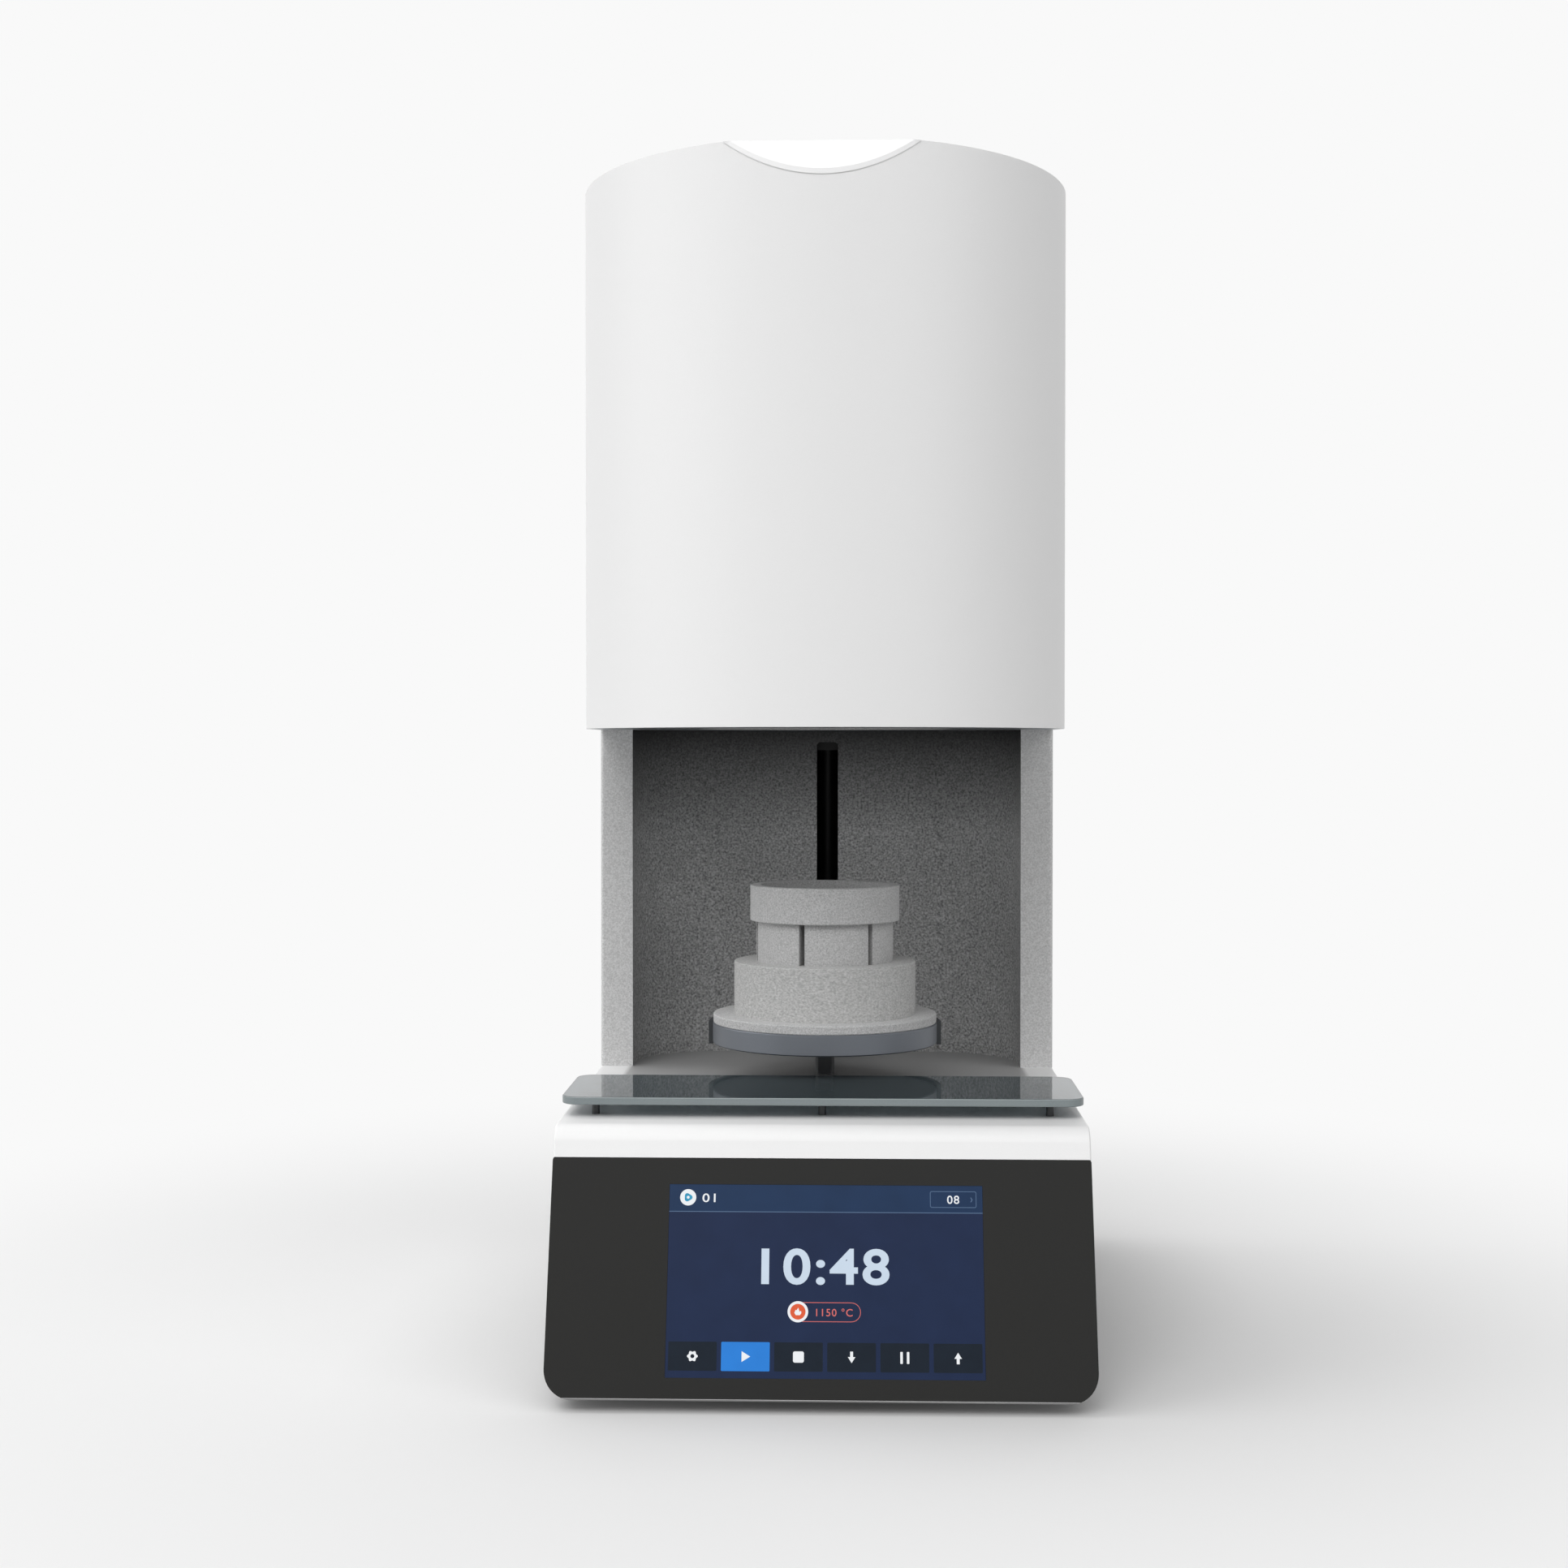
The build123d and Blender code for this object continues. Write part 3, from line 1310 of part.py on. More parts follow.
guide_places = [(side * (carriage_width / 2 - rod_inset), screw_y) for side in (-1, 1)]
bush_radius = rod_diameter / 2 + bush_wall
nut_radius = nut_diameter / 2
with BuildPart() as carriage:
    with BuildSketch(Plane.XY.offset(carriage_z)):
        with Locations((0, screw_y)):
            RectangleRounded(carriage_width, carriage_depth, cheek_edge_radius)
            Circle(nut_radius, mode=Mode.SUBTRACT)
        with Locations(*guide_places):
            Circle(bush_radius, mode=Mode.SUBTRACT)
    extrude(amount=carriage_height)
    with BuildSketch(Plane.XY.offset(carriage_z)):
        with Locations((0, screw_y)):
            Circle(nut_flange_diameter / 2)
    extrude(amount=nut_flange_thickness, mode=Mode.SUBTRACT)
    with BuildSketch(Plane.XZ.offset(-carriage_front_y)):
        with Locations(*arm_screw_places):
            Circle(arm_screw / 2)
    extrude(amount=-arm_screw_length, mode=Mode.SUBTRACT)
write(carriage, "carriage")

with BuildPart() as carriage_bushes:
    with BuildSketch(Plane.XY.offset(carriage_z + (carriage_height - bush_length) / 2)):
        with Locations(*guide_places):
            Circle(bush_radius)
            Circle(rod_diameter / 2 + running_gap, mode=Mode.SUBTRACT)
    extrude(amount=bush_length)
write(carriage_bushes, "carriage_bushes")

with BuildPart() as lead_nut:
    with BuildSketch(Plane.XY.offset(carriage_z)):
        with Locations((0, screw_y)):
            Circle(nut_flange_diameter / 2)
    extrude(amount=nut_flange_thickness)
    with BuildSketch(Plane.XY.offset(carriage_z)):
        with Locations((0, screw_y)):
            Circle(nut_radius)
    extrude(amount=nut_length)
    with BuildSketch(Plane.XY.offset(carriage_z)):
        with Locations((0, screw_y)):
            Circle(screw_diameter / 2 + running_gap)
    extrude(amount=nut_length, mode=Mode.SUBTRACT)
write(lead_nut, "lead_nut")

motor_plate_z = carriage_z - carriage_gap - frame_sheet
top_stop_z = carriage_top_z + lift_travel + carriage_stop_gap
frame_top_z = top_stop_z + frame_sheet
boss_radius = motor_boss_diameter / 2
with BuildPart() as lift_frame:
    # the motor plate and the top plate stand off the back plate
    for plate_z in (motor_plate_z, top_stop_z):
        with BuildSketch(Plane.XY.offset(plate_z)):
            with Locations((0, frame_middle_y)):
                Rectangle(frame_width, frame_depth)
        extrude(amount=frame_sheet)
    with BuildSketch(Plane.XY.offset(motor_plate_z)):
        with Locations((0, frame_rear_y)):
            Rectangle(frame_width, frame_back, align=(Align.CENTER, Align.MAX))
    extrude(amount=frame_top_z - motor_plate_z)
    # legs down to the pan, each side of the motor, with feet turned outwards
    with BuildSketch(Plane.XY.offset(pan_top_z)):
        with Locations((0, frame_middle_y)):
            with GridLocations(frame_width - frame_back, 1, 2, 1):
                Rectangle(frame_back, frame_depth)
    extrude(amount=motor_plate_z - pan_top_z)
    with BuildSketch(Plane.XY.offset(pan_top_z)):
        with Locations((0, frame_middle_y)):
            with GridLocations(frame_width + frame_foot_width, 1, 2, 1):
                Rectangle(frame_foot_width, frame_depth)
        with Locations(*frame_foot_places):
            Circle(cap_screw_size / 2, mode=Mode.SUBTRACT)
    extrude(amount=frame_foot_height)
    # bores for the motor's boss, the bearing and the guide rods
    with BuildSketch(Plane.XY.offset(motor_plate_z)):
        with Locations((0, screw_y)):
            Circle(boss_radius)
    extrude(amount=frame_sheet, mode=Mode.SUBTRACT)
    with BuildSketch(Plane.XY.offset(top_stop_z)):
        with Locations((0, screw_y)):
            Circle(bearing_diameter / 2)
    extrude(amount=frame_sheet, mode=Mode.SUBTRACT)
    with BuildSketch(Plane.XY.offset(motor_plate_z)):
        with Locations(*guide_places):
            Circle(rod_diameter / 2)
    extrude(amount=frame_top_z - motor_plate_z, mode=Mode.SUBTRACT)
write(lift_frame, "lift_frame")

with BuildPart() as guide_rods:
    with BuildSketch(Plane.XY.offset(motor_plate_z)):
        with Locations(*guide_places):
            Circle(rod_diameter / 2)
    extrude(amount=frame_top_z - motor_plate_z)
write(guide_rods, "guide_rods")

with BuildPart() as screw_bearing:
    with BuildSketch(Plane.XY.offset(top_stop_z)):
        with Locations((0, screw_y)):
            Circle(bearing_diameter / 2)
            Circle(screw_diameter / 2 + running_gap, mode=Mode.SUBTRACT)
    extrude(amount=frame_sheet)
write(screw_bearing, "screw_bearing")

# The screw is the motor's own shaft, so there is no coupling between them.
screw_z = motor_plate_z + motor_boss_height + screw_clear
with BuildPart() as lead_screw:
    with BuildSketch(Plane.XY.offset(screw_z)):
        with Locations((0, screw_y)):
            Circle(screw_diameter / 2)
    extrude(amount=frame_top_z - screw_z)
    chamfer(lead_screw.faces().filter_by(Axis.Z).edges(), edge_break)
write(lead_screw, "lead_screw")

with BuildPart() as lift_motor:
    with BuildSketch(Plane.XY.offset(motor_plate_z)):
        with Locations((0, screw_y)):
            RectangleRounded(motor_size, motor_size, motor_corner)
    extrude(amount=-motor_height)
    with BuildSketch(Plane.XY.offset(motor_plate_z)):
        with Locations((0, screw_y)):
            Circle(boss_radius)
    extrude(amount=motor_boss_height)
write(lift_motor, "lift_motor")

switch_zs = (carriage_z + switch_body[2], top_stop_z - switch_body[2])
with BuildPart() as limit_switches:
    with Locations(
        *[
            (
                carriage_width / 2 + switch_gap + switch_body[0] / 2,
                frame_rear_y - frame_back - switch_body[1] / 2,
                z,
            )
            for z in switch_zs
        ]
    ):
        Box(*switch_body)
write(limit_switches, "limit_switches")

# ---------------------------------------------------------------- electrical parts in the base
transformer_room = 2 * pan_half - supply_inset - supply_size[0] - supply_gap
transformer_diameter = transformer_room - transformer_inset
transformer_x = -pan_half + transformer_inset + transformer_diameter / 2
transformer_y = pan_front_y + transformer_setback + transformer_diameter / 2
post_x = [transformer_x - lead_gap / 2 + lead_gap * i for i in range(2)]
post_y = transformer_y + (transformer_diameter + transformer_bore) / 4
with BuildPart() as transformer:
    with BuildSketch(Plane.XY.offset(pan_top_z)):
        with Locations((transformer_x, transformer_y)):
            Circle(transformer_diameter / 2)
            Circle(transformer_bore / 2, mode=Mode.SUBTRACT)
    extrude(amount=transformer_height)
    fillet(transformer.edges().filter_by(GeomType.CIRCLE), transformer_round)
    with BuildSketch(Plane.XY.offset(pan_top_z + transformer_height / 2)):
        with Locations(*[(x, post_y) for x in post_x]):
            Circle(post_diameter / 2)
    extrude(amount=transformer_height / 2 + post_height)
write(transformer, "transformer")

supply_x = pan_half - supply_inset - supply_size[0] / 2
supply_y = pan_front_y + supply_setback + supply_size[1] / 2
with BuildPart() as power_supply:
    with Locations((supply_x, supply_y, pan_top_z)):
        Box(*supply_size, align=(Align.CENTER, Align.CENTER, Align.MIN))
    with BuildSketch(Plane.XY.offset(pan_top_z + supply_size[2])):
        with Locations((supply_x, supply_y)):
            with GridLocations(2 * vent_height, 2 * vent_height, *supply_holes):
                Circle(vent_height / 2)
    extrude(amount=-supply_cover, mode=Mode.SUBTRACT)
write(power_supply, "power_supply")

controller_x = -pan_half + controller_inset + controller_size[0] / 2
controller_y = pan_front_y + controller_setback + controller_size[1] / 2
board_top_z = pan_top_z + spacer_height + board_thickness
with BuildPart() as controller_board:
    with BuildSketch(Plane.XY.offset(pan_top_z)):
        with Locations((controller_x, controller_y)):
            with GridLocations(
                controller_size[0] - 2 * spacer_inset, controller_size[1] - 2 * spacer_inset, 2, 2
            ):
                Circle(spacer_diameter / 2)
    extrude(amount=spacer_height)
    with BuildSketch(Plane.XY.offset(pan_top_z + spacer_height)):
        with Locations((controller_x, controller_y)):
            Rectangle(*controller_size)
    extrude(amount=board_thickness)
    # processor, memory, socket and capacitors
    with BuildSketch(Plane.XY.offset(board_top_z)):
        with Locations((controller_x, controller_y)):
            Rectangle(*chip_size)
            with GridLocations(2 * memory_gap, 1, 2, 1):
                Rectangle(*memory_size)
        with Locations((controller_x, controller_y - controller_size[1] / 2 + 2 * spacer_inset)):
            Rectangle(*socket_size)
    extrude(amount=chip_height)
    with BuildSketch(Plane.XY.offset(board_top_z)):
        with Locations((controller_x, controller_y + controller_size[1] / 2 - capacitor_diameter)):
            with GridLocations(capacitor_pitch, 1, 4, 1):
                Circle(capacitor_diameter / 2)
    extrude(amount=capacitor_height)
write(controller_board, "controller_board")

relay_y = pan_front_y + relay_setback + sink_size[1] / 2
with BuildPart() as relay_sink:
    with BuildSketch(Plane.XY.offset(pan_top_z)):
        with Locations((supply_x, relay_y)):
            with GridLocations(1, (sink_size[1] - sink_fin) / (sink_fins - 1), 1, sink_fins):
                Rectangle(sink_size[0], sink_fin)
    extrude(amount=sink_size[2] - sink_plate)
    with BuildSketch(Plane.XY.offset(pan_top_z + sink_size[2] - sink_plate)):
        with Locations((supply_x, relay_y)):
            Rectangle(sink_size[0], sink_size[1])
    extrude(amount=sink_plate)
write(relay_sink, "relay_sink")

with BuildPart() as power_relay:
    with Locations((supply_x, relay_y, pan_top_z + sink_size[2])):
        Box(*relay_size, align=(Align.CENTER, Align.CENTER, Align.MIN))
    chamfer(power_relay.edges().filter_by(Axis.Z), 2 * edge_break)
write(power_relay, "power_relay")

# Two leads run from the terminal block down behind the bay wall to the transformer.
lead_start_x = [-lead_start - lead_gap * i for i in range(2)]
lead_start_z = lid_z + clamp_height
lead_base_z = hollow_top_z - 2 * lead_diameter
with BuildPart() as heating_leads:
    for start_x, column_x, end_x in zip(lead_start_x, reversed(lead_x), reversed(post_x)):
        with BuildLine() as lead_path:
            FilletPolyline(
                (start_x, block_rear_y, lead_start_z),
                (start_x, block_rear_y + lead_back, lead_start_z),
                (column_x, screw_y, lead_start_z - lead_fall),
                (column_x, screw_y, lead_base_z),
                (end_x, post_y, lead_base_z),
                (end_x, post_y, pan_top_z + transformer_height + post_height),
                radius=lead_bend,
            )
        with BuildSketch(Plane((start_x, block_rear_y, lead_start_z), z_dir=(0, 1, 0))):
            Circle(lead_diameter / 2)
        sweep(path=lead_path.wires()[0])
write(heating_leads, "heating_leads")

# ---------------------------------------------------------------- rear face of the base
with BuildPart() as mains_inlet:
    with BuildSketch(rear_plane):
        with Locations((inlet_x, power_z)):
            RectangleRounded(inlet_width, inlet_height, inlet_corner)
    extrude(amount=-rear_trim)
    with BuildSketch(rear_plane):
        with Locations((inlet_x, power_z)):
            Rectangle(inlet_body_width, inlet_body_height)
    extrude(amount=inlet_depth)
    with BuildSketch(rear_plane.offset(-rear_trim)) as socket:
        with Locations((inlet_x, power_z)):
            Rectangle(socket_width, socket_height)
        chamfer(socket.vertices().group_by(Axis.X)[0], socket_cut)
    extrude(amount=rear_trim + socket_depth, mode=Mode.SUBTRACT)
    with Locations(*[Location((x, rear_y + rear_trim, z), (-90, 0, 0)) for x, z in inlet_screw_places]):
        CounterSinkHole(small_screw / 2, small_screw, depth=2 * rear_trim, counter_sink_angle=90)
write(mains_inlet, "mains_inlet")

with BuildPart() as inlet_prongs:
    with BuildSketch(rear_plane.offset(socket_depth)):
        with Locations(
            (inlet_x, power_z - prong_spread),
            (inlet_x, power_z + prong_spread),
            (inlet_x + prong_size[0], power_z),
        ):
            Rectangle(*prong_size)
    extrude(amount=-prong_length)
write(inlet_prongs, "inlet_prongs")

pivot_y = rear_y - pivot_depth
well_depth = pivot_depth + rocker_root + rocker_floor_gap
with BuildPart() as power_switch:
    with BuildSketch(rear_plane):
        with Locations((switch_x, power_z)):
            RectangleRounded(switch_width, switch_height, switch_corner)
    extrude(amount=-rear_trim)
    with BuildSketch(rear_plane):
        with Locations((switch_x, power_z)):
            Rectangle(switch_body_width, switch_body_height)
    extrude(amount=well_depth + 2 * switch_border)
    with BuildSketch(rear_plane.offset(-rear_trim)):
        with Locations((switch_x, power_z)):
            Rectangle(well_width, well_height)
    extrude(amount=rear_trim + well_depth, mode=Mode.SUBTRACT)
    # pin across the well that the rocker tilts on
    with BuildSketch(Plane.YZ.offset(switch_x)):
        with Locations((pivot_y, power_z)):
            Circle(rocker_pin / 2)
    extrude(amount=(well_width + switch_border) / 2, both=True)
write(power_switch, "power_switch")

rocker_plane = Plane(Location((switch_x, pivot_y, power_z), (rocker_swing / 2, 0, 0)) * Location(Plane.YZ))
with BuildPart() as switch_rocker:
    with BuildSketch(rocker_plane):
        with BuildLine():
            Polyline(
                (-rocker_root, -rocker_height / 4),
                (rocker_end - rocker_edge, -rocker_height / 2),
                (rocker_end, -rocker_height / 2),
                (rocker_middle, 0),
                (rocker_end, rocker_height / 2),
                (rocker_end - rocker_edge, rocker_height / 2),
                (-rocker_root, rocker_height / 4),
                close=True,
            )
        make_face()
        Circle(rocker_pin / 2 + running_gap, mode=Mode.SUBTRACT)
    extrude(amount=rocker_width / 2, both=True)
write(switch_rocker, "switch_rocker")

with BuildPart() as fuse_holders:
    with BuildSketch(rear_plane):
        with Locations(*[(x, power_z) for x in fuse_x]):
            Circle(fuse_diameter / 2)
    extrude(amount=-rear_trim)
    with BuildSketch(rear_plane):
        with Locations(*[(x, power_z) for x in fuse_x]):
            Circle(fuse_body_diameter / 2)
    extrude(amount=inlet_depth)
    with BuildSketch(rear_plane.offset(-rear_trim)):
        with Locations(*[(x, power_z) for x in fuse_x]):
            Rectangle(*fuse_notch)
    extrude(amount=fuse_notch_depth, mode=Mode.SUBTRACT)
write(fuse_holders, "fuse_holders")
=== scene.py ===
"""Looks of a bench-top dental lab furnace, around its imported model.

The furnace has a base with a leaning control panel, an open bay and a round head with the heated
chamber. Lengths in the classes are millimetres in the furnace's own frame: +Z is up, the control
panel faces -Y, and the origin is at the middle of the space that it takes on the bench.
"""
import logging
import math
from dataclasses import dataclass, field
from enum import Enum
from typing import Any, Optional

import bmesh
import bpy
from mathutils import Matrix, Vector

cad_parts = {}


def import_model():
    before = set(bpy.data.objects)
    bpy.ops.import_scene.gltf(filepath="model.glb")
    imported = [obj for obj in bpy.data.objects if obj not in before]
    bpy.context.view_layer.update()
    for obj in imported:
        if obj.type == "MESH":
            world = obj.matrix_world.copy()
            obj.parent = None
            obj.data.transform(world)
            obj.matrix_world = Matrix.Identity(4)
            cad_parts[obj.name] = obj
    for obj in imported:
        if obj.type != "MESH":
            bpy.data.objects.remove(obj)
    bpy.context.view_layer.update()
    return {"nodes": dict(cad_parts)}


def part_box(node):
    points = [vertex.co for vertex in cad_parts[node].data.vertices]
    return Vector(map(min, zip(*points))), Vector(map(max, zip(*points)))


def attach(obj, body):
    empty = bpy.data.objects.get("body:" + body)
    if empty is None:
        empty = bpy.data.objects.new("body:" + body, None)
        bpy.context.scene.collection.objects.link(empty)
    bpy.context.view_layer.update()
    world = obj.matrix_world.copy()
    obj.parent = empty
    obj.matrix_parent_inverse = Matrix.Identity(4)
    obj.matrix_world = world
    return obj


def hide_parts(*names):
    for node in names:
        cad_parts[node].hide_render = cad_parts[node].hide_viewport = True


LOG = logging.getLogger("furnace")
MM = 0.001
# Points of a shape that lie closer than this, in millimetres, are one point.
MERGE_DISTANCE = 0.0004
# Almost all of a noise texture's values lie between these two.
NOISE_LOW = 0.3
NOISE_HIGH = 0.7
# The sockets of a colour Mix node by place, because several of them share a name.
MIX_SHARE, MIX_FROM, MIX_TO = 0, 6, 7
MIX_RESULT = 2
NodeTree = bpy.types.NodeTree
NodeSocket = bpy.types.NodeSocket
Piece = bpy.types.Object
Shape = bmesh.types.BMesh
Pair = tuple[float, float]
Triple = tuple[float, float, float]
Colour = tuple[float, float, float, float]


# ------------------------------------------------------------------ shader nodes
def linear(hex_colour: str) -> Colour:
    """Turn an sRGB hex colour into the linear values that a shader takes.

    Args:
        hex_colour: A colour such as "#8090a0".

    Returns:
        Linear red, green and blue, with an alpha of 1.
    """
    channels = [int(hex_colour[place:place + 2], 16) / 255 for place in (1, 3, 5)]
    red, green, blue = [
        value / 12.92 if value <= 0.04045 else ((value + 0.055) / 1.055) ** 2.4
        for value in channels
    ]
    return red, green, blue, 1.0


def add(
    tree: NodeTree,
    kind: str,
    values: Optional[dict[Any, Any]] = None,
    links: Optional[dict[Any, NodeSocket]] = None,
    **settings: Any,
) -> bpy.types.Node:
    """Add a shader node, set it up and link what feeds it.

    Args:
        tree: The node tree that gets the node.
        kind: Blender's name of the node's type.
        values: Constants for its inputs, by name or place.
        links: Outputs of other nodes for its inputs, by name or place.
        settings: The node's own properties.

    Returns:
        The new node.
    """
    made = tree.nodes.new(kind)
    for name, value in settings.items():
        setattr(made, name, value)
    for name, value in (values or {}).items():
        made.inputs[name].default_value = value
    for name, socket in (links or {}).items():
        tree.links.new(socket, made.inputs[name])
    return made


def empty_tree(owner: Any) -> NodeTree:
    """Give a material or a world a node tree of its own, with nothing in it yet.

    Args:
        owner: The material or the world.

    Returns:
        Its node tree.
    """
    owner.use_nodes = True
    owner.node_tree.nodes.clear()
    return owner.node_tree


class Spread(Enum):
    """What a grain's bumps look like from close by."""

    CLOUDS = "clouds"
    CELLS = "cells"


@dataclass(frozen=True)
class Grain:
    """A fine pattern in a surface, from the size of one grain.

    A stretch above 1 along an axis draws the grains out along it, as brushing does.
    """

    width_mm: float
    relief_mm: float = 0.0
    tint: float = 0.0
    rough: float = 0.0
    stretch: Triple = (1.0, 1.0, 1.0)
    spread: Spread = Spread.CLOUDS
    detail: float = 2.0

    def height(self, tree: NodeTree) -> NodeSocket:
        """Draw the grain.

        Args:
            tree: The material's node tree.

        Returns:
            An output that runs from 0 to 1 over the grains.
        """
        place = add(tree, "ShaderNodeTexCoord")
        frequency = 1 / (self.width_mm * MM)
        scale = Vector([frequency / share for share in self.stretch])
        links = {"Vector": place.outputs["Object"]}
        mapping = add(tree, "ShaderNodeMapping", {"Scale": scale}, links)
        vector = {"Vector": mapping.outputs["Vector"]}
        if self.spread is Spread.CELLS:
            cells = add(tree, "ShaderNodeTexVoronoi", {"Scale": 1.0}, vector)
            return cells.outputs["Distance"]
        clouds = add(tree, "ShaderNodeTexNoise", {"Scale": 1.0, "Detail": self.detail}, vector)
        return clouds.outputs["Fac"]


@dataclass(frozen=True)
class Finish:
    """A surface: the material's common name, how it was made, and what the eye gets from that."""

    name: str
    colour: str
    roughness: float
    metallic: float = 0.0
    ior: float = 1.5
    coat: float = 0.0
    coat_roughness: float = 0.1
    transmission: float = 0.0
    specular: float = 0.5
    grains: tuple[Grain, ...] = ()

    def shade(self, tree: NodeTree) -> Optional[NodeSocket]:
        """Draw a pattern of colour that is larger than the grains.

        Args:
            tree: The material's node tree.

        Returns:
            A colour output, or None for a surface of one colour under its grains.
        """
        return None

    def material(self) -> bpy.types.Material:
        """Make the finish's material, or give the one already made.

        Returns:
            The material.
        """
        made = bpy.data.materials.get(self.name)
        if made is not None:
            return made
        made = bpy.data.materials.new(self.name)
        tree = empty_tree(made)
        constants = {
            "Base Color": linear(self.colour),
            "Roughness": self.roughness,
            "Metallic": self.metallic,
            "Coat Weight": self.coat,
            "Coat Roughness": self.coat_roughness,
            "Transmission Weight": self.transmission,
            "Specular IOR Level": self.specular,
        }
        if self.metallic < 1.0:
            constants["IOR"] = self.ior
        shader = add(tree, "ShaderNodeBsdfPrincipled", constants)
        add(tree, "ShaderNodeOutputMaterial", links={"Surface": shader.outputs["BSDF"]})
        self.add_grains(tree, shader)
        made.diffuse_color = linear(self.colour)
        return made

    def add_grains(self, tree: NodeTree, shader: bpy.types.Node) -> None:
        """Let the grains vary the shader's colour, roughness and relief.

        Args:
            tree: The material's node tree.
            shader: Its Principled node.
        """
        colour = self.shade(tree)
        roughness: Optional[NodeSocket] = None
        relief: Optional[NodeSocket] = None
        for grain in self.grains:
            height = grain.height(tree)
            if grain.tint > 0.0:
                limits = {"From Min": NOISE_LOW, "From Max": NOISE_HIGH, "To Min": 1 - grain.tint}
                level = add(tree, "ShaderNodeMapRange", limits, {"Value": height})
                constants = {MIX_SHARE: 1.0, MIX_FROM: linear(self.colour)}
                links = {MIX_TO: level.outputs["Result"]}
                if colour is not None:
                    links[MIX_FROM] = colour
                mix = add(
                    tree,
                    "ShaderNodeMix",
                    constants,
                    links,
                    data_type="RGBA",
                    blend_type="MULTIPLY",
                )
                colour = mix.outputs[MIX_RESULT]
            if grain.rough > 0.0:
                low, high = self.roughness - grain.rough, self.roughness + grain.rough
                limits = {"To Min": low, "To Max": high}
                level = add(tree, "ShaderNodeMapRange", limits, {"Value": height})
                roughness = level.outputs["Result"]
            if grain.relief_mm > 0.0:
                constants = {"Strength": 1.0, "Distance": grain.relief_mm * MM}
                links = {"Height": height}
                if relief is not None:
                    links["Normal"] = relief
                relief = add(tree, "ShaderNodeBump", constants, links).outputs["Normal"]
        if colour is not None:
            self.paint(tree, shader, colour)
        if roughness is not None:
            tree.links.new(roughness, shader.inputs["Roughness"])
        if relief is not None:
            tree.links.new(relief, shader.inputs["Normal"])

    def paint(self, tree: NodeTree, shader: bpy.types.Node, colour: NodeSocket) -> None:
        """Send the finished colour to the shader.

        Args:
            tree: The material's node tree.
            shader: Its Principled node.
            colour: The colour over the surface.
        """
        tree.links.new(colour, shader.inputs["Base Color"])


@dataclass(frozen=True)
class LitFinish(Finish):
    """Part of a lit picture behind glass: its colour is light, and the surface itself is dark."""

    specular: float = 0.08
    unlit: str = "#060607"
    glow: float = 1.0

    def paint(self, tree: NodeTree, shader: bpy.types.Node, colour: NodeSocket) -> None:
        """Let the colour shine through the dark surface.

        Args:
            tree: The material's node tree.
            shader: Its Principled node.
            colour: The colour over the surface.
        """
        shader.inputs["Base Color"].default_value = linear(self.unlit)
        shader.inputs["Emission Strength"].default_value = self.glow
        tree.links.new(colour, shader.inputs["Emission Color"])


@dataclass(frozen=True)
class Zone:
    """A part of a surface with a colour of its own and a soft border.

    Each limit is an axis number, where along it the zone starts to show, and where it is full.
    """

    colour: str
    limits_mm: tuple[tuple[int, float, float], ...]


@dataclass(frozen=True)
class ZonedFinish(Finish):
    """A surface whose colour turns into another one in some zones of the object."""

    zones: tuple[Zone, ...] = ()

    def shade(self, tree: NodeTree) -> NodeSocket:
        """Draw each zone where all its limits hold.

        Args:
            tree: The material's node tree.

        Returns:
            The colour of the surface and of its zones.
        """
        place = add(tree, "ShaderNodeTexCoord")
        along = add(tree, "ShaderNodeSeparateXYZ", links={"Vector": place.outputs["Object"]})
        colour: Optional[NodeSocket] = None
        for zone in self.zones:
            inside: Optional[NodeSocket] = None
            for axis, start, full in zone.limits_mm:
                limits = {"From Min": start * MM, "From Max": full * MM}
                height = {"Value": along.outputs[axis]}
                share = add(tree, "ShaderNodeMapRange", limits, height).outputs["Result"]
                if inside is not None:
                    links = {0: inside, 1: share}
                    both = add(tree, "ShaderNodeMath", links=links, operation="MULTIPLY")
                    share = both.outputs["Value"]
                inside = share
            constants = {MIX_FROM: linear(self.colour), MIX_TO: linear(zone.colour)}
            links = {MIX_SHARE: inside}
            if colour is not None:
                links[MIX_FROM] = colour
            mix = add(tree, "ShaderNodeMix", constants, links, data_type="RGBA")
            colour = mix.outputs[MIX_RESULT]
        return colour


@dataclass(frozen=True)
class BoardFinish(Finish):
    """A circuit board under solder mask: copper runs show through it as a paler green.

    The width and the length of a run are shares of the runs' pitch.
    """

    run_colour: str = "#2f7a4c"
    run_pitch_mm: float = 2.4
    run_width: float = 0.16
    run_length: float = 5.0

    def shade(self, tree: NodeTree) -> NodeSocket:
        """Draw the copper runs as the joints of a brick pattern.

        Args:
            tree: The material's node tree.

        Returns:
            The colour of the mask and the runs.
        """
        place = add(tree, "ShaderNodeTexCoord")
        scale = {"Scale": Vector([1 / (self.run_pitch_mm * MM)] * 3)}
        scaled = add(tree, "ShaderNodeMapping", scale, {"Vector": place.outputs["Object"]})
        pattern = {
            "Color1": linear(self.colour),
            "Color2": linear(self.colour),
            "Mortar": linear(self.run_colour),
            "Scale": 1.0,
            "Mortar Size": self.run_width,
            "Brick Width": self.run_length,
            "Row Height": 1.0,
        }
        runs = add(tree, "ShaderNodeTexBrick", pattern, {"Vector": scaled.outputs["Vector"]})
        return runs.outputs["Color"]


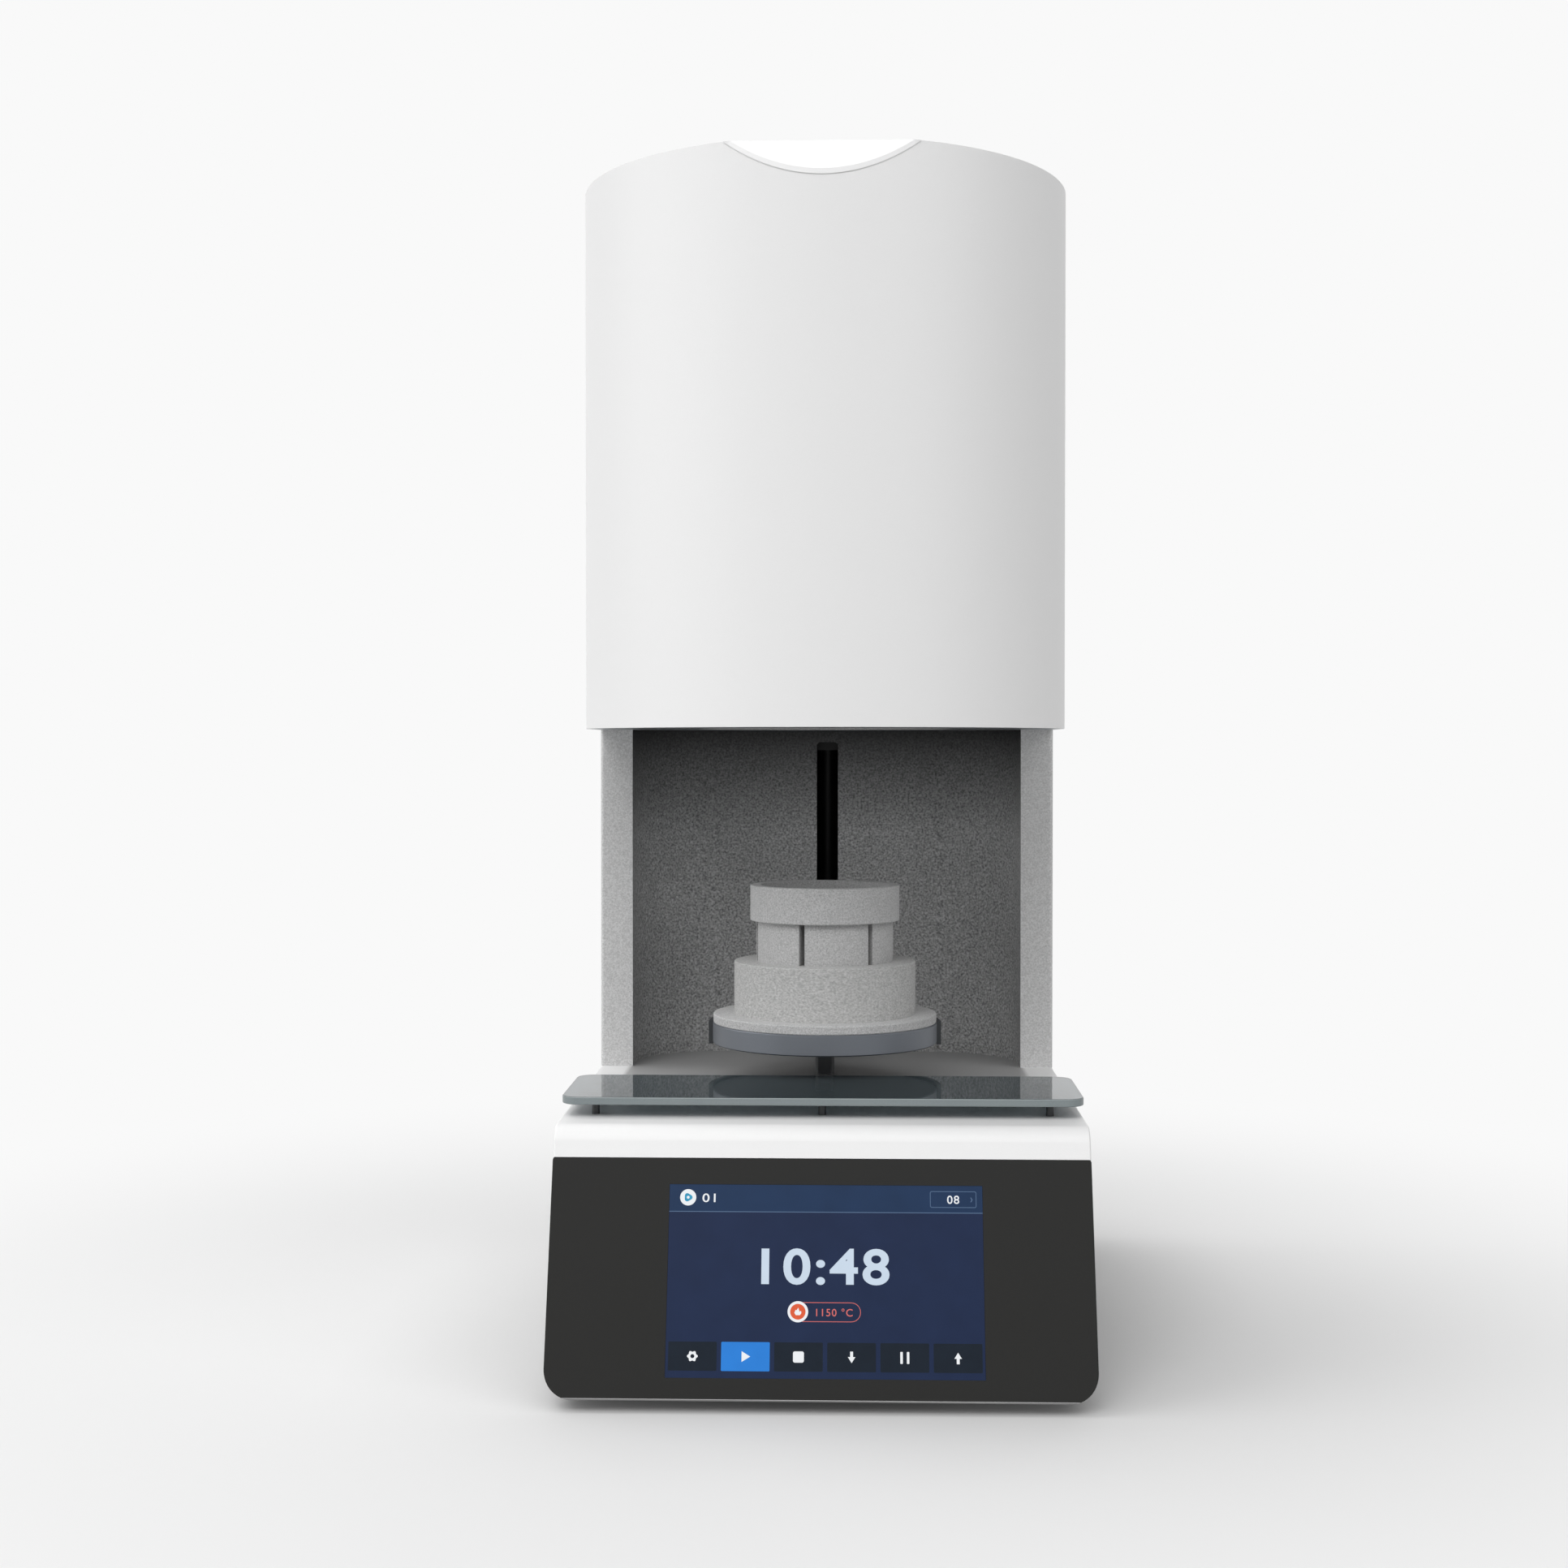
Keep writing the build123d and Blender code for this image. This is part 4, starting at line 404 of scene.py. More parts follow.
@dataclass(frozen=True)
class WoundFinish(Finish):
    """A ring core wound with film: the edges of the overlapping turns run outwards."""

    edge_colour: str = "#8a7434"
    centre_mm: Pair = (0.0, 0.0)
    turns: int = 44
    edge_share: float = 0.18

    def shade(self, tree: NodeTree) -> NodeSocket:
        """Draw the edge of each turn of film around the core's axis.

        Args:
            tree: The material's node tree.

        Returns:
            The colour of the film.
        """
        place = add(tree, "ShaderNodeTexCoord")
        centre = Vector((-self.centre_mm[0] * MM, -self.centre_mm[1] * MM, 0.0))
        links = {"Vector": place.outputs["Object"]}
        moved = add(tree, "ShaderNodeMapping", {"Location": centre}, links)
        links = {"Vector": moved.outputs["Vector"]}
        angle = add(tree, "ShaderNodeTexGradient", links=links, gradient_type="RADIAL")
        links = {0: angle.outputs["Fac"]}
        turned = add(tree, "ShaderNodeMath", {1: float(self.turns)}, links, operation="MULTIPLY")
        share = add(tree, "ShaderNodeMath", links={0: turned.outputs["Value"]}, operation="FRACT")
        limits = {"From Max": self.edge_share}
        edge = add(tree, "ShaderNodeMapRange", limits, {"Value": share.outputs["Value"]})
        colours = {MIX_FROM: linear(self.edge_colour), MIX_TO: linear(self.colour)}
        links = {MIX_SHARE: edge.outputs["Result"]}
        film = add(tree, "ShaderNodeMix", colours, links, data_type="RGBA")
        return film.outputs[MIX_RESULT]


@dataclass(frozen=True)
class SleeveFinish(Finish):
    """A woven glass sleeve: fine slanted bands of yarn cross each other."""

    band_mm: float = 1.6
    slant: float = 0.7
    shadow: str = "#7d7768"

    def shade(self, tree: NodeTree) -> NodeSocket:
        """Draw the yarn as two sets of slanted bands.

        Args:
            tree: The material's node tree.

        Returns:
            The colour of the yarn.
        """
        place = add(tree, "ShaderNodeTexCoord")
        # At a scale of 1, the wave texture turns by 20 radians over each unit of length.
        frequency = math.tau / 20 / (self.band_mm * MM)
        bands = []
        for slant in (self.slant, -self.slant):
            turn = {"Rotation": Vector((slant, slant, slant))}
            turned = add(tree, "ShaderNodeMapping", turn, {"Vector": place.outputs["Object"]})
            links = {"Vector": turned.outputs["Vector"]}
            wave = add(tree, "ShaderNodeTexWave", {"Scale": frequency, "Distortion": 0.0}, links)
            bands.append(wave.outputs["Fac"])
        links = {0: bands[0], 1: bands[1]}
        crossed = add(tree, "ShaderNodeMath", links=links, operation="MAXIMUM")
        colours = {MIX_FROM: linear(self.shadow), MIX_TO: linear(self.colour)}
        links = {MIX_SHARE: crossed.outputs["Value"]}
        yarn = add(tree, "ShaderNodeMix", colours, links, data_type="RGBA")
        return yarn.outputs[MIX_RESULT]


# ------------------------------------------------------------------ the furnace's finishes
# Powder coat on steel sheet: cured from powder, so it has a satin skin with a faint orange peel.
WHITE_COAT = Finish(
    "white_powder_coat_satin", "#eeeeee", 0.42,
    grains=(
        Grain(3.0, relief_mm=0.010, rough=0.03),
        Grain(0.5, relief_mm=0.004, tint=0.015),
    ),
)
# The column has a textured powder instead: dry, with fine speckles. It is painted a shade greyer
# than the head's coat: painted shade under the overhanging head. Its grit is drawn 0.9 mm wide
# for the real 0.5 mm, so that it shows.
COLUMN_COAT = Finish(
    "white_powder_coat_textured", "#dbdbdb", 0.6,
    grains=(Grain(0.9, relief_mm=0.03, tint=0.34, rough=0.05, detail=4.0),),
)
# Moulded ABS with a spark-eroded skin: dark and even, with a weak sheen.
FASCIA_ABS = Finish(
    "charcoal_abs_moulded", "#20201f", 0.5,
    specular=0.14,
    grains=(Grain(0.6, relief_mm=0.006, tint=0.10, rough=0.05), Grain(30.0, tint=0.03)),
)
# Bonded cover glass over a lit liquid crystal panel: the picture glows through a dark surface that
# mirrors little. Its colours mottle softly, as a backlight does.
LIT_NAVY = LitFinish("lit_display_navy", "#1d2b4a", 0.28, grains=(Grain(14.0, tint=0.12),))
LIT_HEADER = LitFinish("lit_display_header", "#1f3657", 0.28, grains=(Grain(20.0, tint=0.14),))
LIT_RULE = LitFinish("lit_display_rule", "#5b7392", 0.28, grains=(Grain(9.0, tint=0.05),))
LIT_CELL = LitFinish("lit_display_dark_cell", "#17212d", 0.28, grains=(Grain(7.0, tint=0.14),))
LIT_BLUE = LitFinish("lit_display_bright_cell", "#2b80d8", 0.28, grains=(Grain(9.0, tint=0.05),))
LIT_WHITE = LitFinish("lit_display_white", "#eef1f4", 0.28, grains=(Grain(4.0, tint=0.03),))
LIT_PALE = LitFinish("lit_display_pale_blue", "#cbdaea", 0.28, grains=(Grain(6.0, tint=0.03),))
LIT_SALMON = LitFinish("lit_display_salmon", "#d9706c", 0.28, grains=(Grain(5.0, tint=0.05),))
LIT_ORANGE = LitFinish("lit_display_orange", "#e2603c", 0.28, grains=(Grain(2.0, tint=0.10),))
LIT_TEAL = LitFinish("lit_display_teal", "#3aa0c8", 0.28, grains=(Grain(1.6, tint=0.25),))
# Grey float glass, polished: it mirrors the bay at a low angle and darkens the deck below it. Its
# tint drifts a little over its width.
SMOKED_GLASS = Finish(
    "grey_float_glass_polished", "#6b767b", 0.03,
    ior=1.52,
    transmission=0.62,
    grains=(Grain(60.0, tint=0.03),),
)
# The same glass where its edge is ground: a paler grey that lets no picture through.
GROUND_EDGE = Finish(
    "grey_float_glass_ground_edge", "#80898b", 0.3,
    ior=1.52,
    grains=(Grain(0.8, relief_mm=0.01, tint=0.08, rough=0.06), Grain(30.0, tint=0.05)),
)
# Vacuum-formed alumina fibre board: chalky, with short felted fibres and small pits. The fibres
# are far finer than the 0.8 mm that they are drawn, so that they show.
FIBRE_BOARD = Finish(
    "ceramic_fibre_board", "#cbcbca", 0.95,
    specular=0.2,
    grains=(
        Grain(0.8, relief_mm=0.06, tint=0.40, stretch=(1.6, 1.6, 1.0), detail=4.0),
        Grain(1.3, relief_mm=0.05, tint=0.06, spread=Spread.CELLS),
    ),
)
# Pressed alumina, fired and unglazed: dry and pale with a fine sandy speckle, 0.4 mm wide in the
# real one and drawn twice as wide, so that it shows.
FIRED_ALUMINA = Finish(
    "fired_alumina_unglazed", "#cbcbcb", 0.85,
    specular=0.25,
    grains=(Grain(0.8, relief_mm=0.04, tint=0.40, detail=4.0), Grain(9.0, tint=0.03)),
)
# Aluminium, blasted and anodised blue-grey: a soft metallic sheen without lines.
ANODISED_TABLE = Finish(
    "anodised_aluminium_blue_grey", "#696d73", 0.46,
    metallic=0.75,
    grains=(Grain(0.5, relief_mm=0.008, tint=0.06, rough=0.05), Grain(25.0, tint=0.04)),
)
# Steel with a thin satin stove enamel: dark, so only its edges catch light.
DARK_ENAMEL = Finish(
    "dark_stove_enamel_satin", "#2b2e31", 0.4,
    grains=(Grain(0.8, relief_mm=0.008, tint=0.08, rough=0.05),),
)
# Ground and turned steel: fine lines around the piece, bright where the lines line up.
TURNED_STEEL = Finish(
    "turned_steel", "#b9b9b6", 0.26,
    metallic=1.0,
    grains=(Grain(0.25, relief_mm=0.004, tint=0.06, rough=0.05, stretch=(8.0, 8.0, 1.0)),),
)
# Steel blackened in hot salts: a dark, slightly oily skin.
BLACK_OXIDE = Finish(
    "black_oxide_steel", "#121213", 0.5,
    specular=0.3,
    grains=(Grain(0.5, relief_mm=0.006, tint=0.2, rough=0.08),),
)
# Zinc plated sheet: a bluish grey with the soft cloudy bloom of the plating.
ZINC_SHEET = Finish(
    "zinc_plated_sheet", "#a9aeb2", 0.36,
    metallic=1.0,
    grains=(
        Grain(6.0, tint=0.10, rough=0.07, spread=Spread.CELLS),
        Grain(0.3, relief_mm=0.004, tint=0.05, stretch=(1.0, 10.0, 1.0)),
    ),
)
# Milled aluminium: pale, with the cutter's fine parallel lines.
MILLED_ALUMINIUM = Finish(
    "milled_aluminium", "#c9cacb", 0.3,
    metallic=1.0,
    grains=(Grain(0.4, relief_mm=0.006, tint=0.06, rough=0.05, stretch=(12.0, 1.0, 1.0)),),
)
# Leaded bronze, turned: warm and slightly dull.
TURNED_BRONZE = Finish(
    "turned_bronze", "#c39a58", 0.32,
    metallic=1.0,
    grains=(Grain(0.3, relief_mm=0.005, tint=0.10, rough=0.06, stretch=(6.0, 6.0, 1.0)),),
)
# Molybdenum disilicide after firing: dark grey under a thin glassy skin.
GLAZED_ELEMENT = Finish(
    "fired_heating_rod", "#4b4643", 0.35,
    coat=0.4,
    grains=(Grain(2.0, relief_mm=0.03, tint=0.30, rough=0.12, stretch=(1.0, 1.0, 4.0)),),
)
# Moulded nitrile rubber: black and matte with a bloom of dust.
FOOT_RUBBER = Finish(
    "nitrile_rubber_moulded", "#1d1d1d", 0.75,
    grains=(Grain(0.7, relief_mm=0.02, tint=0.20, rough=0.08),),
)
# Glass yarn woven over silicone: cream, with dark gaps where the bands cross.
LEAD_SLEEVE = SleeveFinish(
    "woven_glass_sleeve", "#d8d2c2", 0.85,
    grains=(Grain(0.8, relief_mm=0.05, tint=0.12),),
)
# Glass-filled nylon: black, moulded with a fine leathery skin.
BLACK_NYLON = Finish(
    "black_nylon_moulded", "#1e1e1f", 0.5,
    grains=(Grain(0.9, relief_mm=0.012, tint=0.15, rough=0.06),),
)
# Polished polycarbonate: black with sharp highlights.
GLOSS_ROCKER = Finish(
    "black_polycarbonate_gloss", "#151515", 0.14,
    coat=0.3,
    grains=(Grain(4.0, relief_mm=0.004, tint=0.05, rough=0.03),),
)
# Thin ink, pressed on by a pad: white with a slightly broken film.
PAD_PRINT = Finish(
    "white_pad_print", "#e8e8e6", 0.5, grains=(Grain(0.4, relief_mm=0.004, tint=0.06),)
)
# A laminate board under green mask, with copper runs.
SOLDER_MASK = BoardFinish(
    "green_solder_mask", "#1d5a37", 0.35,
    grains=(Grain(0.5, relief_mm=0.01, tint=0.06, rough=0.05),),
)
# Lacquered steel laminations and end caps of a stepper motor: fine lines around the stack.
MOTOR_LACQUER = Finish(
    "black_motor_lacquer", "#202124", 0.35,
    grains=(Grain(0.5, relief_mm=0.02, tint=0.15, rough=0.06, stretch=(20.0, 20.0, 1.0)),),
)


# ------------------------------------------------------------------ making pieces
def put(name: str, data: Any) -> Piece:
    """Put a new object into the scene, at the origin.

    Args:
        name: The object's name.
        data: Its mesh, light or camera.

    Returns:
        The object.
    """
    made = bpy.data.objects.new(name, data)
    bpy.context.scene.collection.objects.link(made)
    return made


def rectangle(width: float, height: float, corner: float = 0.0, corner_steps: int = 6) -> Shape:
    """Make a flat rectangle around its own middle.

    Args:
        width: Its width.
        height: Its height.
        corner: The radius of its corners.
        corner_steps: How many edges make a round corner.

    Returns:
        The shape in its own plane.
    """
    shape = bmesh.new()
    # A grid's size is half its width, so this one measures 1 by 1.
    bmesh.ops.create_grid(shape, x_segments=1, y_segments=1, size=0.5)
    bmesh.ops.scale(shape, verts=shape.verts, vec=Vector((width, height, 1.0)))
    if corner > 0.0:
        bevel(shape, shape.verts[:], "VERTICES", corner, corner_steps)
    return shape


def bevel(shape: Shape, parts: list[Any], affect: str, offset: float, steps: int) -> None:
    """Round off some corners or edges of a shape.

    Args:
        shape: The shape.
        parts: The corners' points, or the edges.
        affect: "VERTICES" or "EDGES".
        offset: How far the rounding reaches.
        steps: How many edges or faces make it.
    """
    bmesh.ops.bevel(
        shape,
        geom=parts,
        offset=offset,
        segments=steps,
        profile=0.5,
        affect=affect,
        material=-1,
    )


def raise_plate(shape: Shape, thickness: float) -> None:
    """Give a flat shape a thickness, upwards from its own plane.

    Args:
        shape: The flat shape.
        thickness: Its new thickness.
    """
    raised = bmesh.ops.extrude_face_region(shape, geom=shape.faces[:])
    moved = [part for part in raised["geom"] if isinstance(part, bmesh.types.BMVert)]
    bmesh.ops.translate(shape, verts=moved, vec=Vector((0, 0, thickness)))


def join(whole: Shape, shape: Shape) -> None:
    """Move a shape into a larger one.

    Args:
        whole: The shape that grows.
        shape: The shape that joins it. It is freed.
    """
    part = bpy.data.meshes.new("part")
    shape.to_mesh(part)
    shape.free()
    whole.from_mesh(part)
    bpy.data.meshes.remove(part)


def finish_piece(shape: Shape, name: str, finish: Finish, body: str) -> Piece:
    """Turn a finished shape into a piece that rides on a body.

    Args:
        shape: The shape, in millimetres in the furnace's frame. It is freed.
        name: The piece's name.
        finish: What its surface is.
        body: The body that it moves with.

    Returns:
        The piece's object.
    """
    bmesh.ops.remove_doubles(shape, verts=shape.verts, dist=MERGE_DISTANCE)
    bmesh.ops.recalc_face_normals(shape, faces=shape.faces)
    bmesh.ops.scale(shape, verts=shape.verts, vec=Vector((MM, MM, MM)))
    mesh = bpy.data.meshes.new(name)
    shape.to_mesh(mesh)
    shape.free()
    mesh.shade_flat()
    piece = put(name, mesh)
    mesh.materials.append(finish.material())
    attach(piece, body)
    LOG.info("made %s with %d faces on %s", name, len(mesh.polygons), body)
    return piece


# ------------------------------------------------------------------ the lit display
@dataclass
class Display:
    """What the control panel's screen shows, as thin lit layers on its glass.

    Places are millimetres from the middle of the casing and down from the fascia's top edge. Sizes
    are a width, a height and, for a box, the radius of its corners. A weight is how far letters'
    strokes are widened, as a share of the type size.
    """

    lean_degrees: float = 19.6
    fascia_length: float = 114.9
    layer: float = 0.04
    left: float = -73.9
    right: float = 78.5
    top: float = 12.8
    header_bottom: float = 25.9
    cell_top: float = 87.5
    cell_bottom: float = 101.0
    cell_width: float = 23.2
    cell_corner: float = 0.5
    cell_pitch: float = 25.32
    first_cell: float = -61.0
    start_cell: int = 1
    badge_place: Pair = (-64.8, 19.1)
    heat_place: Pair = (-10.8, 73.2)
    box_place: Pair = (64.3, 19.4)
    box_size: Triple = (22.5, 7.9, 0.9)
    box_line: float = 0.28
    pill_place: Pair = (3.4, 73.3)
    pill_size: Triple = (32.0, 9.2, 4.55)
    pill_line: float = 0.3
    clock_place: Pair = (2.3, 51.9)
    clock_size: Pair = (61.8, 17.3)
    header_rule: float = 0.34
    bold: float = 0.02
    medium: float = 0.008
    regular: float = 0.004
    round_steps: int = 40
    tooth_steps: int = 12
    tooth_share: float = 0.13
    letter_spacing: float = 1.12
    letter_steps: int = 6
    toe: Vector = field(default_factory=Vector)

    def __post_init__(self) -> None:
        """Find the panel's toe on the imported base."""
        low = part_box("base_cover")[0]
        self.toe = Vector((0.0, low.y, low.z)) / MM

    def matrix(self, across: float, down: float, layer: int) -> Matrix:
        """Find the place of a flat shape on the glass.

        Args:
            across: Distance to the right of the casing's middle.
            down: Distance below the top edge of the fascia, along its slope.
            layer: How many layers the shape lies above the glass.

        Returns:
            The transform from the shape's own plane into the furnace's frame.
        """
        lean = math.radians(self.lean_degrees)
        up_slope = Vector((0.0, math.sin(lean), math.cos(lean)))
        outwards = Vector((0.0, -math.cos(lean), math.sin(lean)))
        origin = self.toe + up_slope * (self.fascia_length - down) + outwards * self.layer * layer
        origin.x = across
        axes = Matrix((Vector((1, 0, 0)), up_slope, outwards)).transposed().to_4x4()
        return Matrix.Translation(origin) @ axes

    def outline(self, shape: Shape, line: float) -> Shape:
        """Keep only a line along the edge of a flat shape.

        Args:
            shape: The shape.
            line: The width of the line.

        Returns:
            The same shape, with its inner face gone.
        """
        bmesh.ops.inset_region(
            shape, faces=shape.faces[:], thickness=line, use_boundary=True, use_even_offset=True
        )
        inner = max(shape.faces, key=lambda face: face.calc_area())
        bmesh.ops.delete(shape, geom=[inner], context="FACES_ONLY")
        return shape

    def disc(self, radius: float) -> Shape:
        """Make a flat disc around its own middle.

        Args:
            radius: Its radius.

        Returns:
            The shape in its own plane.
        """
        shape = bmesh.new()
        bmesh.ops.create_circle(shape, cap_ends=True, radius=radius, segments=self.round_steps)
        return shape

    def polygon(self, points: list[Pair]) -> Shape:
        """Make a flat shape with a few corners.

        Args:
            points: The corners in turn.

        Returns:
            The shape in its own plane.
        """
        shape = bmesh.new()
        shape.faces.new([shape.verts.new((x, y, 0)) for x, y in points])
        return shape

    def gear(self, radius: float, bore: float, teeth: int) -> Shape:
        """Make a flat wheel with soft teeth and a round hole.

        Args:
            radius: The mean radius of its edge.
            bore: The radius of its hole.
            teeth: How many teeth it has.

        Returns:
            The shape in its own plane.
        """
        shape = bmesh.new()
        steps = teeth * self.tooth_steps
        bmesh.ops.create_circle(shape, cap_ends=False, radius=radius, segments=steps)
        for point in shape.verts:
            turn = math.atan2(point.co.y, point.co.x)
            point.co *= 1 + self.tooth_share * math.cos(teeth * turn)
        bmesh.ops.create_circle(shape, cap_ends=False, radius=bore, segments=steps)
        bmesh.ops.bridge_loops(shape, edges=shape.edges[:])
        return shape

    def letters(self, text: str, width: float, height: float, weight: float) -> Shape:
        """Make flat plain characters that fit a box around their own middle.

        Args:
            text: The characters.
            width: The width of the box.
            height: The height of the box.
            weight: How far the strokes are widened.

        Returns:
            The shape in its own plane.
        """
        curve = bpy.data.curves.new("lettering", "FONT")
        curve.body = text
        curve.offset = weight
        curve.space_character = self.letter_spacing
        curve.resolution_u = self.letter_steps
        writing = bpy.data.objects.new("lettering", curve)
        mesh = bpy.data.meshes.new_from_object(writing)
        shape = bmesh.new()
        shape.from_mesh(mesh)
        bpy.data.objects.remove(writing)
        bpy.data.curves.remove(curve)
        bpy.data.meshes.remove(mesh)
        across = [vert.co.x for vert in shape.verts]
        along = [vert.co.y for vert in shape.verts]
        middle = Vector(((min(across) + max(across)) / 2, (min(along) + max(along)) / 2, 0))
        bmesh.ops.translate(shape, verts=shape.verts, vec=-middle)
        size = Vector((width / (max(across) - min(across)), height / (max(along) - min(along)), 1))
        bmesh.ops.scale(shape, verts=shape.verts, vec=size)
        return shape

    def show(
        self,
        name: str,
        finish: Finish,
        layer: int,
        shapes: list[tuple[Shape, float, float]],
    ) -> Piece:
        """Lay flat shapes on the glass as one lit piece.

        Args:
            name: The piece's name.
            finish: Its light.
            layer: How many layers it lies above the glass.
            shapes: Each flat shape with its place across and down the fascia.

        Returns:
            The piece's object.
        """
        whole = bmesh.new()
        for shape, across, down in shapes:
            raise_plate(shape, self.layer)
            bmesh.ops.transform(shape, matrix=self.matrix(across, down, layer), verts=shape.verts)
            join(whole, shape)
        return finish_piece(whole, name, finish, "casing")

    def build(self) -> None:
        """Make every layer of the display."""
        middle = (self.left + self.right) / 2
        width = self.right - self.left
        down = (self.top + self.header_bottom) / 2
        header = rectangle(width, self.header_bottom - self.top)
        self.show("display_header", LIT_HEADER, 0, [(header, middle, down)])
        rule = rectangle(width, self.header_rule)
        box = self.outline(rectangle(*self.box_size), self.box_line)
        rules = [(rule, middle, self.header_bottom), (box, *self.box_place)]
        self.show("display_rules", LIT_RULE, 1, rules)
        cells = [self.first_cell + self.cell_pitch * place for place in range(6)]
        down = (self.cell_top + self.cell_bottom) / 2
        height = self.cell_bottom - self.cell_top
        buttons = [
            (rectangle(self.cell_width, height, self.cell_corner), across, down)
            for across in cells
        ]
        bright = buttons.pop(self.start_cell)
        self.show("display_dark_cells", LIT_CELL, 0, buttons)
        self.show("display_start_cell", LIT_BLUE, 0, [bright])
        clock = self.letters("10:48", *self.clock_size, self.bold)
        self.show("display_clock", LIT_PALE, 0, [(clock, *self.clock_place)])
        self.show_header()
        self.show_temperature()
        self.show_icons(cells, down)

    def show_header(self) -> None:
        """Lay the badge and the plain numbers on the header."""
        self.show("display_badge", LIT_WHITE, 1, [(self.disc(3.95), *self.badge_place)])
        self.show("display_badge_dot", LIT_TEAL, 2, [(self.gear(1.9, 0.7, 3), *self.badge_place)])
        chevron = self.polygon(
            [(0, 1.1), (0.45, 1.1), (1.1, 0), (0.45, -1.1), (0, -1.1), (0.65, 0)]
        )
        numbers = [
            (self.letters("01", 6.4, 4.2, self.medium), -54.6, 19.3),
            (self.letters("08", 5.9, 4.0, self.medium), 64.3, 19.5),
        ]
        self.show("display_numbers", LIT_WHITE, 1, numbers)
        self.show("display_chevron", LIT_RULE, 1, [(chevron, 72.6, 19.5)])

    def show_temperature(self) -> None:
        """Lay the outlined temperature reading under the clock."""
        pill = self.outline(rectangle(*self.pill_size), self.pill_line)
        reading = self.letters("1150 °C", 17.5, 3.7, self.regular)
        shapes = [(pill, *self.pill_place), (reading, 6.7, 73.4)]
        self.show("display_reading", LIT_SALMON, 0, shapes)
        self.show("display_disc", LIT_WHITE, 1, [(self.disc(4.95), *self.heat_place)])
        self.show("display_heat_disc", LIT_ORANGE, 2, [(self.disc(3.7), *self.heat_place)])
        right = [(-1.0, -1.6), (1.0, -1.6), (1.7, -0.6), (1.5, 0.4), (0.8, 0.0)]
        left = [(0.2, 1.9), (-0.7, 0.6), (-1.1, 0.9), (-1.7, -0.5)]
        flame = self.polygon(right + left)
        self.show("display_flame", LIT_WHITE, 3, [(flame, *self.heat_place)])

    def show_icons(self, cells: list[float], down: float) -> None:
        """Lay a white sign on each button.

        Args:
            cells: The middle of each button.
            down: How far below the fascia's top edge the buttons' middles are.
        """
        triangle = self.polygon([(-1.8, 2.5), (-1.8, -2.5), (2.3, 0)])
        left = [(-0.7, 2.7), (-0.7, 0.2), (-1.8, 0.2)]
        arrow = [*left, (0, -2.6), *[(-x, y) for x, y in reversed(left)]]
        bars = [(rectangle(1.2, 5.5, 0.25), cells[4] + side * 1.55, down) for side in (-1, 1)]
        icons = [
            (self.gear(2.3, 0.95, 6), cells[0], down),
            (triangle, cells[1], down),
            (rectangle(5.2, 5.2, 0.9), cells[2], down),
            (self.polygon(arrow), cells[3], down),
            (self.polygon([(x, -y) for x, y in reversed(arrow)]), cells[5], down),
            *bars,
        ]
        self.show("display_icons", LIT_WHITE, 1, icons)


# ------------------------------------------------------------------ the furnace's sub-assemblies
@dataclass
class Assembly:
    """Some of the furnace's pieces that belong together.

    Attributes:
        nodes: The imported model's nodes by name.
        dressed: The names of the nodes that have their finish.
    """

    nodes: dict[str, Piece]
    dressed: list[str] = field(default_factory=list)

    def dress(self, finish: Finish, *names: str) -> None:
        """Give some of the model's own pieces a finish.

        Args:
            finish: What their surface is.
            names: The pieces' nodes.
        """
        for name in names:
            mesh = self.nodes[name].data
            mesh.materials.clear()
            mesh.materials.append(finish.material())
        self.dressed += names
        LOG.info("dressed %s as %s", ", ".join(names), finish.name)

    def build(self) -> None:
        """Dress the pieces, and make those that the model leaves to its looks."""
        raise NotImplementedError


